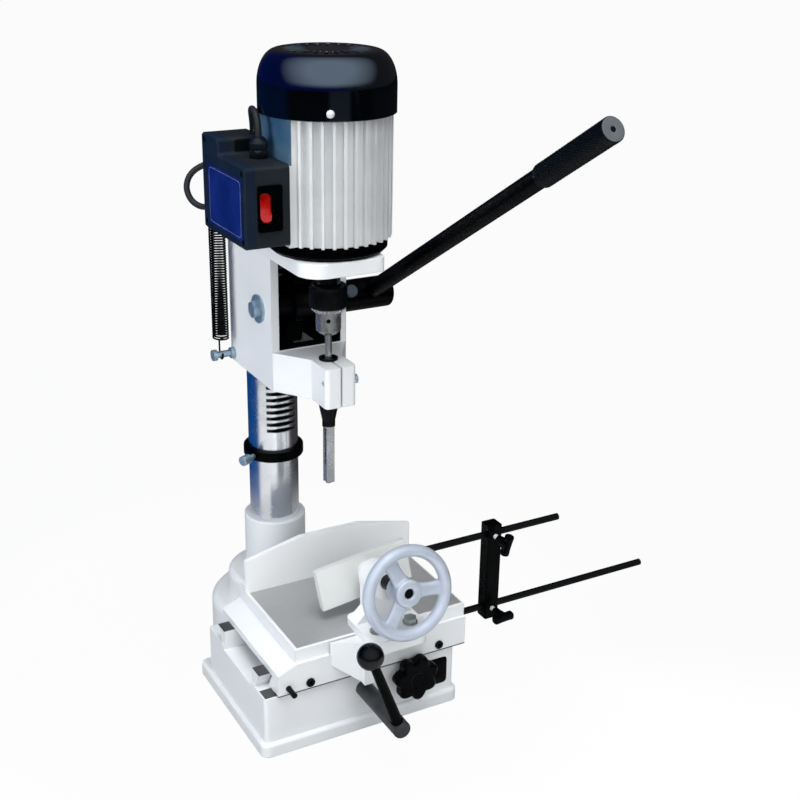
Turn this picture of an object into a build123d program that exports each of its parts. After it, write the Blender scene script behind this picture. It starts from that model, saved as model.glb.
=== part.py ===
from build123d import *
import math
import os

# Bench hollow-chisel mortiser. Millimetres, +Z up, the front is -Y, the operator's right is +X.
# The origin is on the underside of the base, at its middle.

# Fits
running = 0.05          # radial clearance of a shaft or slide that moves
seat = 0.05             # radial clearance of a pin, screw or bush that is fixed in its hole
side_gap = 0.3          # gap between faces that pass each other

# Column and its socket
column_radius = 30.0
column_y = 78.0
column_above = 8.0      # column that shows over the spring bracket
column_depth = 102.0    # length held in the socket
socket_radius = 37.5
socket_top = 168.0

# Base casting
lip_half_width = 124.5
lip_front = -167.0
lip_depth = 196.0
lip_height = 16.0
lip_corner = 10.0
box_inset = 5.0         # the box stands back from the lip by this much
box_depth = 168.0
base_wall = 10.0
deck_top = 73.0         # flat on which the table's apron nearly rests
deck_underside = 60.0
valley_floor = 68.0
pedestal_radius = 82.0
pedestal_top = 58.0
shoulder_round = 11.0
boss_radius = 60.0
boss_top = 92.0
boss_round = 8.0
pedestal_wall = 10.0
pedestal_underside = 46.0
rib_width = 12.0
rib_height = 16.0
foot_boss_radius = 14.0
foot_boss_height = 26.0
foot_hole_radius = 4.25
foot_hole_depth = 20.0
foot_spacing_x = 196.0
foot_spacing_y = 125.0
foot_first_y = -140.0

# Dovetail ways along X
way_half_length = 118.0
way_top = 92.0
way_width = 19.0
front_way_y = -143.0    # front edge of the front way's top
rear_way_y = -23.0      # rear edge of the rear way's top
dovetail_angle = 60.0
gib_thickness = 5.0

# Head casting
head_half_width = 47.0
head_right_half = 43.0  # the right cheek is thinner
head_bottom = 374.0
head_front = -33.0
head_height = 169.0
cheek_inside = 38.0
right_cheek_inside = 36.5
window_sill = 46.0      # from the head's underside to the window
window_lintel = 24.0    # from the window to the head's top
plate_left_half = 52.0
plate_right_half = 38.0
plate_thickness = 15.0
plate_front = -136.5
plate_left_corner = 25.0
plate_right_corner = 9.0
plate_rear = -10.0
spindle_y = -76.5
plate_hole_radius = 31.0
nose_half_width = 18.0
nose_reach = 32.0       # from the chisel's axis to the nose's front face
nose_height = 45.0
nose_waist_y = -72.0    # where the arm has narrowed to the nose
slit_width = 2.0
nose_screw_y = -100.0
nose_screw_height = 27.0
nose_screw_radius = 3.0
nose_screw_head_radius = 5.0
nose_screw_head = 4.0

# Feed pinion, its shaft and the lever
feed_module = 2.5
feed_teeth = 40
backlash = 0.4
pressure_angle = math.radians(20.0)
pinion_height = 86.0    # from the head's underside to the pinion's axis
pinion_width = 20.0
sector_from = -78.0     # degrees from +Y towards +Z
sector_to = 20.0
sector_hub_radius = 20.0
pinion_shaft_radius = 11.0
housing_radius = 18.0
housing_length = 25.0
hub_length = 45.4
shaft_end_washer_radius = 16.0
shaft_end_washer = 2.5
shaft_end_head = 6.5
shaft_end_across_flats = 17.0
shaft_end_depth = 14.0
housing_bolt_x = 57.3
housing_bolt_angle = 31.0
housing_bolt_radius = 4.0
housing_bolt_head_radius = 7.0
housing_bolt_head = 5.0
housing_bolt_depth = 3.0
lever_angle = 31.15     # above horizontal, towards the front
lever_radius = 9.7
lever_length = 495.0    # from the shaft's axis to the grip's end
lever_inset = 26.5      # from the hub's outer face to the lever's axis
grip_radius = 11.65
grip_length = 110.5
grip_end_radius = 11.2
grip_end_length = 2.0
rack_below = 176.0      # rack teeth below the pinion's axis
rack_above = 62.0

# Motor
bell_height = 15.0
bell_radius = 62.0
bell_notches = 44
shell_height = 130.0
shell_radius = 61.0
shell_bore = 54.0
fin_radius = 66.5
fin_count = 36
fin_width = 3.2
shell_web = 10.0
box_pad_x = 60.5        # flat on the shell's left flank that carries the control box
box_pad_half = 38.0
box_pad_root = 44.0     # the pad's block starts this far from the motor's axis
cover_radius = 70.0
cover_height = 56.0
cover_round_in = 20.0   # the shoulder is a quarter of an ellipse, this wide
cover_round_down = 34.0 # and this tall
cover_wall = 2.5
cover_vents = 24
vent_inner = 22.0
vent_outer = 44.0
vent_width = 3.6
cover_screw_radius = 2.5
cover_screw_head_radius = 5.0
cover_screw_head = 2.6
cover_screw_height = 7.5
cover_screw_angle = 23.4
cover_land = 4.0        # depth of the cover's skirt over the shell
stator_bore = 36.0
stator_length = 70.0
rotor_gap = 0.5
motor_shaft_radius = 9.5
bearing_outer = 20.0
bearing_width = 12.0
fan_radius = 60.0
fan_blades = 9
fan_height = 24.0
fan_plate = 3.0
fan_lift = 8.0
motor_bolt_circle = 90.0
motor_bolt_radius = 4.0
motor_bolt_head = 5.3
motor_bolt_across_flats = 13.0
motor_bolt_depth = 9.0

# Chuck, bit and chisel
chuck_radius = 13.7
chuck_drop = 38.0       # from the motor's seat down to the chuck
chuck_length = 56.0
chuck_socket = 24.0     # depth of the motor shaft in the chuck
chuck_cone = 4.0
chuck_nose_radius = 9.5
sleeve_radius = 20.4
sleeve_rim_radius = 18.8
sleeve_rim = 4.0
sleeve_lift = 25.0      # from the chuck's nose to the sleeve
sleeve_height = 29.0
sleeve_teeth = 24
key_hole_radius = 2.4
key_hole_drop = 8.0
bit_radius = 3.7
bit_grip = 20.0
chisel_side = 9.5
chisel_bore = 4.3
chisel_reach = 100.5    # from the head's underside to the chisel's tip
chisel_shank_radius = 8.0
chisel_shoulder_radius = 11.0
chisel_shoulder = 7.0
chisel_cone = 19.0
chisel_collar = 7.0
chisel_collar_radius = 7.2
chisel_slot_width = 4.0
chisel_slot_length = 45.0
chisel_slot_from_tip = 22.0
bit_below_tip = 3.0
bush_wall = 1.8
bush_flange = 2.0
bush_flange_radius = 10.4

# Return spring, its stud and its bracket
spring_x = -63.0
spring_coil_radius = 8.7    # to the middle of the wire
spring_wire_radius = 1.05
spring_turns = 54
spring_hook_run = 20.0  # from a hook's middle to the coil
stud_height = 10.0      # from the head's underside to the spring stud
stud_radius = 4.0
stud_length = 27.0
stud_thread = 10.0
stud_collar_radius = 6.5
stud_collar = 5.0
bracket_gap = 33.0      # from the head's top to the bracket
bracket_height = 16.0
bracket_wall = 9.0
bracket_arm_width = 12.0
hook_gap = 0.2

# Depth-stop collar
collar_radius = 36.2
collar_z = 248.0
collar_height = 12.0
collar_screw_angle = 25.0   # degrees from -X towards -Y
collar_screw_radius = 3.0
collar_screw_head_radius = 6.0
collar_screw_head = 12.0
collar_screw_shank = 8.0

# Control box on the motor's left flank
control_depth = 47.5        # from the pad out to the cover's face
cover_thickness = 12.0
control_front = -117.0
control_rear = -6.0
control_lift = 3.0          # from the motor shell's foot to the box
control_height = 81.0
tower_front = -50.0
tower_rise = 17.0
control_wall = 3.0
control_round = 4.0
cover_screw_inset = 7.0
control_screw_radius = 3.0
control_screw_sink = 2.0
control_screw_length = 12.0
label_front = -110.0
label_rear = -23.0
label_lift = 8.0            # from the box's underside to the label
label_height = 61.0
label_sheet = 0.6
bezel_width = 26.0
bezel_height = 46.0
bezel_thickness = 2.0
bezel_depth = 16.0
bezel_lap = 1.0             # the bezel's flange beyond its hole
bezel_x = -82.0
bezel_lift = 40.0           # from the box's underside to the switch's middle
rocker_width = 12.0
rocker_height = 29.0
rocker_tilt = 10.0
rocker_sink = 6.0
rocker_pivot_radius = 3.0
rocker_offset = -4.5        # the rocker sits left of the bezel's middle
gland_radius = 9.0
gland_nut = 8.0
gland_height = 21.0
gland_x = -74.0
gland_y = -74.0
rear_gland_x = -84.0
rear_gland_lift = 20.0      # from the box's underside to the rear gland
rear_gland_height = 12.0
lead_radius = 3.3

# Table
saddle_left = -105.0
table_right = 131.0
apron_front = -166.0
table_rear = -5.0
apron_bottom = 74.0
saddle_top = 110.0
saddle_left_top = 100.0
plate_left = -83.0
table_front = -162.0
table_top = 125.0
vise_x = 28.0
lug_half_width = 38.0
lug_front = -193.0
leg_width = 18.0
leg_bottom = 76.0
leg_spread = 30.0           # how far the leg's root runs to the left at the table's edge
gib_screw_z = 82.5
gib_screw_x = (-67.0, 96.0)
gib_screw_radius = 5.0
gib_screw_reach = 2.0      # in front of the apron
gib_socket_radius = 2.2
gib_socket_depth = 4.0
lock_stud_x = -93.0
lock_stud_radius = 3.2
lock_stud_reach = 17.0
fence_face = -27.5
fence_left = -83.0
fence_right = 133.0
fence_thickness = 6.0
fence_end_height = 42.0
fence_height = 58.0
fence_rise = 70.0           # length of the sloping ends of the fence's top edge
fence_foot = 8.0
fence_foot_short = 25.0     # the foot stops this far from the right end
fence_bolt_spacing = 150.0
fence_bolt_radius = 3.0
fence_bolt_head = 4.0
fence_bolt_across_flats = 10.0
fence_bolt_depth = 12.0

# Vise: the screw runs down towards the jaw by a small angle
vise_tilt = 12.0
wheel_y = -210.0
wheel_z = 191.8
wheel_radius = 53.5
rim_radius = 6.8
wheel_hub_radius = 15.0
wheel_hub_length = 24.0
wheel_hub_front = 2.0       # the hub's reach in front of the rim's plane
spoke_width = 17.0
spoke_thickness = 7.0
spoke_back = 2.0            # the spokes' middle lies behind the rim's
spoke_turn = 5.0            # degrees from +X to the first spoke
spoke_count = 3
vise_screw_radius = 8.5
vise_screw_end_radius = 5.5
vise_foot_front = -191.0
vise_foot_rear = -133.0
vise_foot_height = 9.0
vise_neck_half = 21.0
vise_neck_corner = 6.0
vise_boss_front = 15.0      # the boss's reach in front of its middle, along the screw
vise_boss_rear = 14.0
vise_boss_radius = 21.0
vise_boss_from_wheel = 61.1 # from the wheel's plane to the middle of the boss, along the screw
vise_bolt_spacing = 41.0
vise_bolt_y = -181.0
vise_bolt_radius = 4.0
vise_bolt_head = 5.3
vise_bolt_across_flats = 13.0
vise_bolt_washer = 1.6
vise_bolt_washer_radius = 8.5
vise_bolt_depth = 12.0
jaw_from_wheel = 94.1       # from the wheel's plane to the jaw's front face, along the screw
jaw_half_width = 57.4
jaw_offset = -4.4           # the jaw's middle lies left of the screw
jaw_thickness = 9.0
jaw_height = 47.5
jaw_drop = 3.2              # the screw meets the jaw this far above its middle
jaw_roll = 6.5              # degrees by which the jaw's right end stands up
jaw_relief = 3.0            # slope along the jaw's lower edge at the back
jaw_boss_radius = 13.0
jaw_boss = 9.0
jaw_socket = 14.0

# Table drive
crank_x = 1.0
crank_z = 52.0
drive_module = 2.0
drive_teeth = 30
drive_width = 16.0
drive_y = -84.0
crank_shaft_radius = 10.0
crank_journal_radius = 7.0
crank_front = -254.0
crank_web_y = -65.0
crank_web = 10.0
crank_web_half = 16.0
crank_plane = -246.0
crank_lean = 20.0           # degrees to the left of upright
crank_length = 106.5
crank_flat = 1.0            # depth of the flat that the arm stands on
crank_flat_half = 7.0
crank_arm_root = 6.5
crank_arm_tip = 4.8
crank_ball_radius = 14.5
rack_width = 14.0
rack_half_length = 100.0
rack_mid_x = 13.0

# Table lock
knob_x = 58.0
knob_z = 58.0
knob_radius = 21.0
knob_lobe_radius = 7.0
knob_lobes = 7
knob_turn = 70.0            # degrees from +X to the first lobe
knob_front = -188.0
knob_thickness = 17.0
knob_hub_radius = 8.0
knob_stud_radius = 5.0
knob_stud_end = -140.0

# Work stop
stop_y = -150.0
guide_z = 106.0
stop_z = 201.0
stop_rod_radius = 4.0
guide_end = 398.0
guide_depth = 20.0
stop_left = 85.0
stop_length = 180.0
bar_x = 172.0
bar_side = 18.0
bar_overlap = 13.0          # bar beyond each rod's axis
wing_stem_radius = 5.5
wing_stem = 19.0
wing_screw_radius = 3.0
wing_half_span = 13.0
wing_thickness = 10.0
wing_waist = 3.8            # half the wings' height beside the stem
wing_tip = 5.2              # and at their ends
wing_round = 2.2
upper_wing_angle = 73.0     # degrees above +X, as the knobs stand
lower_wing_angle = 4.0

# Worked-out places
head_top = head_bottom + head_height
window_bottom = head_bottom + window_sill
window_top = head_top - window_lintel
nose_top = head_bottom + nose_height
nose_screw_z = head_bottom + nose_screw_height
pinion_z = head_bottom + pinion_height
stud_z = head_bottom + stud_height
bracket_z = head_top + bracket_gap + bracket_height / 2
column_top = bracket_z + bracket_height / 2 + column_above
spring_coil_top = bracket_z - spring_hook_run
spring_coil_bottom = stud_z + spring_hook_run
chisel_tip = head_bottom - chisel_reach
chuck_top = head_top - chuck_drop
chuck_bottom = chuck_top - chuck_length
sleeve_bottom = chuck_bottom + sleeve_lift
column_front = column_y - column_radius
column_bottom = socket_top - column_depth
lip_rear = lip_front + lip_depth
box_half_width = lip_half_width - box_inset
box_front = lip_front + box_inset
box_rear = box_front + box_depth
rear_wall_y = table_rear + 4.0
feed_pitch = math.pi * feed_module
feed_radius = feed_module * feed_teeth / 2
rack_pitch_y = column_front + feed_module
pinion_y = rack_pitch_y - feed_radius
drive_radius = drive_module * drive_teeth / 2
motor_bottom = head_top
shell_bottom = motor_bottom + bell_height
shell_top = shell_bottom + shell_height
cover_top = shell_top + cover_height
lower_bearing = shell_bottom - bearing_width
upper_bearing = shell_top - bearing_width
stator_bottom = shell_bottom + 22.0
control_inside = -box_pad_x
control_outside = control_inside - control_depth
control_split = control_outside + cover_thickness
control_bottom = shell_bottom + control_lift
control_top = control_bottom + control_height
tower_top = control_top + tower_rise
label_bottom = control_bottom + label_lift
label_top = label_bottom + label_height
bezel_z = control_bottom + bezel_lift
rear_gland_z = control_bottom + rear_gland_lift
screw_axis = Vector(0, math.cos(math.radians(vise_tilt)), -math.sin(math.radians(vise_tilt)))
wheel_centre = Vector(vise_x, wheel_y, wheel_z)
lever_x = head_right_half + housing_length + side_gap + hub_length - lever_inset
dovetail_run = (way_top - deck_top) / math.tan(math.radians(dovetail_angle))
gib_run = gib_thickness / math.sin(math.radians(dovetail_angle))
nose_front = spindle_y - nose_reach
bush_radius = chisel_shank_radius + bush_wall
hook_radius = stud_radius + spring_wire_radius + hook_gap
lead_points = [
    (gland_x, gland_y, control_top + gland_height - 3.0),
    (gland_x, gland_y, 682.0),
    (-73.0, -53.0, 690.0),
    (-63.0, -34.0, 669.0),
    (-54.0, -12.0, 652.0),
    (-56.0, 12.0, 635.0),
    (-67.0, 32.0, 621.0),
    (-84.0, 45.0, 615.0),
    (-100.0, 51.0, 606.0),
    (-107.5, 50.0, 591.0),
    (-104.0, 44.0, 576.0),
    (-95.0, 34.0, 570.0),
    (-87.5, 25.0, 574.0),
    (rear_gland_x, control_rear + rear_gland_height + 7.0, rear_gland_z),
    (rear_gland_x, control_rear + rear_gland_height - 7.0, rear_gland_z),
]


def block(x0, x1, y0, y1, z0, z1):
    """A box between two corners."""
    return Pos((x0 + x1) / 2, (y0 + y1) / 2, (z0 + z1) / 2) * Box(x1 - x0, y1 - y0, z1 - z0)


def rod_x(radius, x0, x1, y, z):
    """A round bar along X."""
    return Pos((x0 + x1) / 2, y, z) * Rot(0, 90, 0) * Cylinder(radius, x1 - x0)


def rod_y(radius, y0, y1, x, z):
    """A round bar along Y."""
    return Pos(x, (y0 + y1) / 2, z) * Rot(-90, 0, 0) * Cylinder(radius, y1 - y0)


def rod_z(radius, z0, z1, x, y):
    """A round bar along Z."""
    return Pos(x, y, (z0 + z1) / 2) * Cylinder(radius, z1 - z0)


def prism_x(points, x0, x1):
    """A (y, z) outline carried along X."""
    outline = make_face(Polyline(*points, close=True))
    return extrude(Plane.YZ.offset(x0) * outline, x1 - x0)


def prism_y(points, y0, y1):
    """An (x, z) outline carried along Y."""
    outline = make_face(Polyline(*points, close=True))
    return extrude(Plane.XZ.offset(-y0) * outline, y0 - y1)


def prism_z(points, z0, z1):
    """An (x, y) outline carried along Z."""
    outline = make_face(Polyline(*points, close=True))
    return extrude(Plane.XY.offset(z0) * outline, z1 - z0)


def hexagon(across_flats, height):
    """A hexagon head standing on its own underside."""
    return extrude(RegularPolygon(across_flats / 2, 6, major_radius=False), height)


def upright_edges(solid):
    """The edges that run along Z."""
    return solid.edges().filter_by(Axis.Z)


def involute(angle):
    """The involute function, tangent less the angle."""
    return math.tan(angle) - angle


def tooth(module, teeth, middle):
    """The outline of one involute tooth, root to tip to root, about the angle middle."""
    pitch_radius = module * teeth / 2
    base_radius = pitch_radius * math.cos(pressure_angle)
    root = pitch_radius - 1.25 * module
    tip = pitch_radius + module
    half_at_pitch = math.pi / (2 * teeth) - backlash / (2 * pitch_radius)
    start = max(root, base_radius)
    flank = []
    for step in range(4):
        radius = start + (tip - start) * step / 3
        slope = math.acos(min(1.0, base_radius / radius))
        flank.append((radius, half_at_pitch + involute(pressure_angle) - involute(slope)))
    rising = [(root, flank[0][1])] + flank
    falling = list(reversed(rising))
    outline = [(r * math.cos(middle - a), r * math.sin(middle - a)) for r, a in rising]
    return outline + [(r * math.cos(middle + a), r * math.sin(middle + a)) for r, a in falling]


def rack_groove(module, reach):
    """The (along, into) outline of the space between two rack teeth; into is measured from the pitch line."""
    half = math.pi * module / 4
    slope = math.tan(pressure_angle)
    deep = 1.25 * module
    return [(-half - reach * slope, -reach), (half + reach * slope, -reach),
            (half - deep * slope, deep), (-half + deep * slope, deep)]


def along_screw(distance, offset_up=0.0, x=vise_x):
    """A plane square to the vise screw, a distance along it from the wheel's plane."""
    up = Vector(0, math.sin(math.radians(vise_tilt)), math.cos(math.radians(vise_tilt)))
    spot = Vector(x, wheel_y, wheel_z) + screw_axis * distance + up * offset_up
    return Plane(origin=spot, x_dir=(1, 0, 0), z_dir=screw_axis)


def screw_rod(radius, start, end):
    """A round bar along the vise screw's axis."""
    return extrude(along_screw(start) * Circle(radius), end - start)


# Base, column and collar

def dovetail(front_edge, rear_edge, x0, x1, top, bottom):
    """A bar along X that is undercut on its front or rear flank."""
    return prism_x([(front_edge[0], bottom), (rear_edge[0], bottom), (rear_edge[1], top),
                    (front_edge[1], top)], x0, x1)


def base_casting():
    lip = block(-lip_half_width, lip_half_width, lip_front, lip_rear, 0, lip_height)
    lip = fillet(upright_edges(lip), lip_corner)
    lip = fillet(lip.faces().sort_by(Axis.Z)[-1].edges(), lip_height / 4)
    box = block(-box_half_width, box_half_width, box_front, box_rear, 0, deck_top)
    box = fillet(upright_edges(box), lip_corner - box_inset)
    pedestal = rod_z(pedestal_radius, 0, pedestal_top, 0, column_y)
    pedestal = fillet(pedestal.faces().sort_by(Axis.Z)[-1].edges(), shoulder_round)
    boss = rod_z(boss_radius, pedestal_underside, boss_top, 0, column_y)
    boss = fillet(boss.faces().sort_by(Axis.Z)[-1].edges(), boss_round)
    socket = rod_z(socket_radius, boss_top - boss_round, socket_top, 0, column_y)
    socket = chamfer(socket.faces().sort_by(Axis.Z)[-1].edges(), 1.5)
    front_way = dovetail((front_way_y + dovetail_run, front_way_y),
                         (front_way_y + way_width, front_way_y + way_width),
                         -way_half_length, way_half_length, way_top, deck_top)
    rear_way = dovetail((rear_way_y - way_width, rear_way_y - way_width),
                        (rear_way_y - dovetail_run, rear_way_y),
                        -way_half_length, way_half_length, way_top, deck_top)
    body = lip + box + pedestal + boss + socket + front_way + rear_way
    body -= block(-box_half_width - 1, box_half_width + 1, front_way_y + way_width,
                  rear_way_y - way_width,
                  valley_floor, way_top + 1)
    body -= block(-box_half_width + base_wall, box_half_width - base_wall, box_front + base_wall,
                  rear_wall_y - 2.0, -1, deck_underside)
    hollow = rod_z(pedestal_radius - pedestal_wall, -1, pedestal_underside, 0, column_y)
    hollow -= block(-box_half_width, box_half_width, box_front, rear_wall_y + base_wall, -2,
                    pedestal_top)
    body -= hollow
    body += block(-rib_width / 2, rib_width / 2, box_front + 1, rear_wall_y + 1, 0, rib_height)
    body += block(crank_x - crank_web_half, crank_x + crank_web_half, crank_web_y - crank_web / 2,
                  crank_web_y + crank_web / 2, 1, deck_underside + 1)
    for across in (-1, 1):
        for row in (0, 1):
            spot = (across * foot_spacing_x / 2, foot_first_y + row * foot_spacing_y)
            body += rod_z(foot_boss_radius, 0, foot_boss_height, *spot)
            body -= rod_z(foot_hole_radius, -1, foot_hole_depth, *spot)
    body -= rod_z(column_radius + seat, column_bottom, socket_top + 1, 0, column_y)
    drive_clear = drive_radius + drive_module + 2.0
    body -= block(crank_x - drive_clear, crank_x + drive_clear, drive_y - drive_width / 2 - 3.0,
                  drive_y + drive_width / 2 + 3.0, deck_underside - 1, valley_floor + 1)
    body -= rod_y(crank_journal_radius + running, lip_front - 1, crank_web_y + crank_web, crank_x,
                  crank_z)
    body -= rod_y(knob_stud_radius + running, lip_front - 1, knob_stud_end + 2.0, knob_x, knob_z)
    return body


def column():
    bar = rod_z(column_radius, column_bottom, column_top, 0, column_y)
    bar = chamfer(bar.faces().sort_by(Axis.Z)[-1].edges(), 2.0)
    groove = rack_groove(feed_module, feed_module + 1.0)
    outline = [(rack_pitch_y + into, pinion_z + along) for along, into in groove]
    cutter = prism_x(outline, -column_radius, column_radius)
    first = math.ceil(-rack_below / feed_pitch)
    last = math.floor(rack_above / feed_pitch)
    for index in range(first, last + 1):
        bar -= Pos(0, 0, index * feed_pitch) * cutter
    return bar


def spring_bracket():
    low = bracket_z - bracket_height / 2
    high = bracket_z + bracket_height / 2
    ring = rod_z(column_radius + bracket_wall, low, high, 0, column_y)
    arm = block(spring_x + spring_coil_radius + 4.0, -column_radius, column_y - bracket_arm_width / 2,
                column_y + bracket_arm_width / 2, low, high)
    body = ring + arm
    body -= rod_z(column_radius + seat, low - 1, high + 1, 0, column_y)
    body += rod_x(stud_radius, spring_x - 4.0, -column_radius - 2.0, column_y, bracket_z)
    body += rod_x(stud_collar_radius, spring_x - 4.0, spring_x, column_y, bracket_z)
    return body


def collar_plane(distance):
    """A plane square to the thumb screw, a distance from the column's axis."""
    turn = math.radians(collar_screw_angle)
    outward = Vector(-math.cos(turn), -math.sin(turn), 0)
    middle = Vector(0, column_y, collar_z + collar_height / 2)
    return Plane(origin=middle + outward * distance, x_dir=(0, 0, 1), z_dir=outward)


def depth_collar():
    ring = rod_z(collar_radius, collar_z, collar_z + collar_height, 0, column_y)
    ring = fillet(ring.edges().filter_by(GeomType.CIRCLE), 1.5)
    ring -= rod_z(column_radius + running, collar_z - 1, collar_z + collar_height + 1, 0, column_y)
    ring -= extrude(collar_plane(column_radius - 2.0) * Circle(collar_screw_radius + running),
                    collar_radius)
    return ring


def collar_screw():
    shank_start = column_radius + side_gap
    head_start = collar_radius + collar_screw_shank
    screw = extrude(collar_plane(shank_start) * Circle(collar_screw_radius), head_start - shank_start + 1)
    head = extrude(collar_plane(head_start) * Circle(collar_screw_head_radius), collar_screw_head)
    return screw + chamfer(head.edges().filter_by(GeomType.CIRCLE), 0.8)


# Head

def head_casting():
    sleeve = rod_z(head_half_width, head_bottom, head_top, 0, column_y)
    cheeks = block(-head_half_width, head_right_half, head_front, column_y, head_bottom, head_top)
    plate = block(-plate_left_half, plate_right_half, plate_front, plate_rear,
                  head_top - plate_thickness, head_top)
    plate = fillet(upright_edges(plate).sort_by(Axis.X)[:2].sort_by(Axis.Y)[0], plate_left_corner)
    plate = fillet(upright_edges(plate).sort_by(Axis.X)[-2:].sort_by(Axis.Y)[0], plate_right_corner)
    arm = prism_z([(-head_half_width, head_front + 1), (-nose_half_width, nose_waist_y),
                   (-nose_half_width, nose_front),
                   (nose_half_width, nose_front), (nose_half_width, nose_waist_y),
                   (head_right_half, head_front + 1)],
                  head_bottom, nose_top)
    arm = fillet(upright_edges(arm).group_by(Axis.Y)[0], 5.0)
    body = sleeve + cheeks + plate + arm
    body -= block(-cheek_inside, right_cheek_inside, head_front - 1, column_front + 10.0, window_bottom,
                  window_top)
    sector_reach = feed_radius + feed_module + 2.0
    body -= block(-pinion_width / 2 - 2.0, pinion_width / 2 + 2.0, pinion_y - 16.0, column_front + 10.0,
                  pinion_z - sector_reach, window_bottom + 1)
    body -= rod_z(column_radius + running, head_bottom - 1, head_top + 1, 0, column_y)
    body -= rod_z(plate_hole_radius, head_top - plate_thickness - 1, head_top + 1, 0, spindle_y)
    body -= rod_x(pinion_shaft_radius + running, -head_half_width - 1, head_half_width + 1, pinion_y,
                  pinion_z)
    body -= rod_z(bush_radius + seat, head_bottom - 1, nose_top + 1, 0, spindle_y)
    body -= block(-slit_width / 2, slit_width / 2, nose_front - 1, spindle_y, head_bottom - 1,
                  nose_top + 1)
    body -= rod_x(nose_screw_radius + seat, -nose_half_width - 1, nose_half_width + 1, nose_screw_y,
                  nose_screw_z)
    body -= rod_x(stud_radius + seat, -head_half_width - 1, -head_half_width + stud_thread, column_y,
                  stud_z)
    for spot in PolarLocations(motor_bolt_circle / 2, 4, 45):
        centre = spot.position
        body -= rod_z(motor_bolt_radius + seat, head_top - plate_thickness - 1, head_top + 1, centre.X,
                      centre.Y + spindle_y)
    return body


def nose_screw():
    shank = rod_x(nose_screw_radius, -nose_half_width + 1.5, nose_half_width + 0.5, nose_screw_y,
                  nose_screw_z)
    head = rod_x(nose_screw_head_radius, nose_half_width, nose_half_width + nose_screw_head,
                 nose_screw_y, nose_screw_z)
    socket = rod_x(nose_screw_radius - 0.5, nose_half_width + nose_screw_head / 2,
                   nose_half_width + nose_screw_head + 1,
                   nose_screw_y, nose_screw_z)
    return shank + head - socket


def chisel_bush():
    bush = rod_z(bush_radius, head_bottom + 1.0, nose_top + 0.5, 0, spindle_y)
    bush += rod_z(bush_flange_radius, nose_top, nose_top + bush_flange, 0, spindle_y)
    return bush - rod_z(chisel_shank_radius + seat, head_bottom, nose_top + bush_flange + 1, 0, spindle_y)


def mortise_chisel():
    shoulder_low = head_bottom - chisel_shoulder
    cone_low = shoulder_low - chisel_cone
    collar_low = cone_low - chisel_collar
    body = rod_z(chisel_shank_radius, shoulder_low, nose_top - 2.0, 0, spindle_y)
    body += rod_z(chisel_shoulder_radius, shoulder_low, head_bottom, 0, spindle_y)
    body += Pos(0, spindle_y, cone_low + chisel_cone / 2) * Cone(chisel_collar_radius,
                                                                 chisel_shoulder_radius, chisel_cone)
    body += rod_z(chisel_collar_radius, collar_low, cone_low, 0, spindle_y)
    half = chisel_side / 2
    body += block(-half, half, spindle_y - half, spindle_y + half, chisel_tip, cone_low)
    body -= rod_z(chisel_bore, chisel_tip - 1, nose_top, 0, spindle_y)
    body -= Pos(0, spindle_y, chisel_tip + 1.0) * Cone(half + 1.0, chisel_bore - 0.5, 4.0)
    slot_low = chisel_tip + chisel_slot_from_tip
    body -= block(-chisel_side, 0, spindle_y - chisel_slot_width / 2, spindle_y + chisel_slot_width / 2,
                  slot_low,
                  slot_low + chisel_slot_length)
    return body


# Feed pinion and lever

def feed_pinion():
    points = []
    pitch_angle = 2 * math.pi / feed_teeth
    first = math.ceil(math.radians(sector_from) / pitch_angle)
    last = math.floor(math.radians(sector_to) / pitch_angle)
    for index in range(first, last + 1):
        points += tooth(feed_module, feed_teeth, index * pitch_angle)
    outline = [(0, 0)] + points
    sector = prism_x([(pinion_y + across, pinion_z + up) for across, up in outline], -pinion_width / 2,
                     pinion_width / 2)
    sector += rod_x(sector_hub_radius, -pinion_width / 2, pinion_width / 2, pinion_y, pinion_z)
    return sector - rod_x(pinion_shaft_radius + seat, -pinion_width, pinion_width, pinion_y, pinion_z)


def pinion_shaft():
    end = head_right_half + housing_length + side_gap + hub_length - 4.0
    shaft = rod_x(pinion_shaft_radius, -head_half_width, end, pinion_y, pinion_z)
    hole = rod_x(housing_bolt_radius + seat, -head_half_width - 1, -head_half_width + shaft_end_depth,
                 pinion_y, pinion_z)
    return shaft - hole


def shaft_end_bolt():
    face = -head_half_width
    bolt = rod_x(housing_bolt_radius, face - 1.0, face + shaft_end_depth - 1.0, pinion_y, pinion_z)
    bolt += rod_x(shaft_end_washer_radius, face - shaft_end_washer, face - running, pinion_y, pinion_z)
    head = hexagon(shaft_end_across_flats, shaft_end_head)
    return bolt + Pos(face - shaft_end_washer, pinion_y, pinion_z) * Rot(0, -90, 0) * head


def pinion_housing():
    body = rod_x(housing_radius, head_right_half, head_right_half + housing_length, pinion_y, pinion_z)
    body -= rod_x(pinion_shaft_radius + running, head_right_half - 1,
                  head_right_half + housing_length + 1,
                  pinion_y, pinion_z)
    body -= bolt_bar(housing_bolt_radius + seat, housing_radius - housing_bolt_depth, housing_radius + 1)
    return body


def bolt_bar(radius, start, end):
    """A round bar square to the pinion housing, in the housing bolt's direction."""
    turn = math.radians(housing_bolt_angle)
    outward = Vector(0, -math.cos(turn), math.sin(turn))
    middle = Vector(housing_bolt_x, pinion_y, pinion_z)
    return extrude(Plane(origin=middle + outward * start, x_dir=(1, 0, 0),
                         z_dir=outward) * Circle(radius), end - start)


def housing_bolt():
    crown = housing_radius + 0.5
    shank = bolt_bar(housing_bolt_radius, housing_radius - housing_bolt_depth, crown + 1)
    return shank + bolt_bar(housing_bolt_head_radius, crown, crown + housing_bolt_head)


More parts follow.
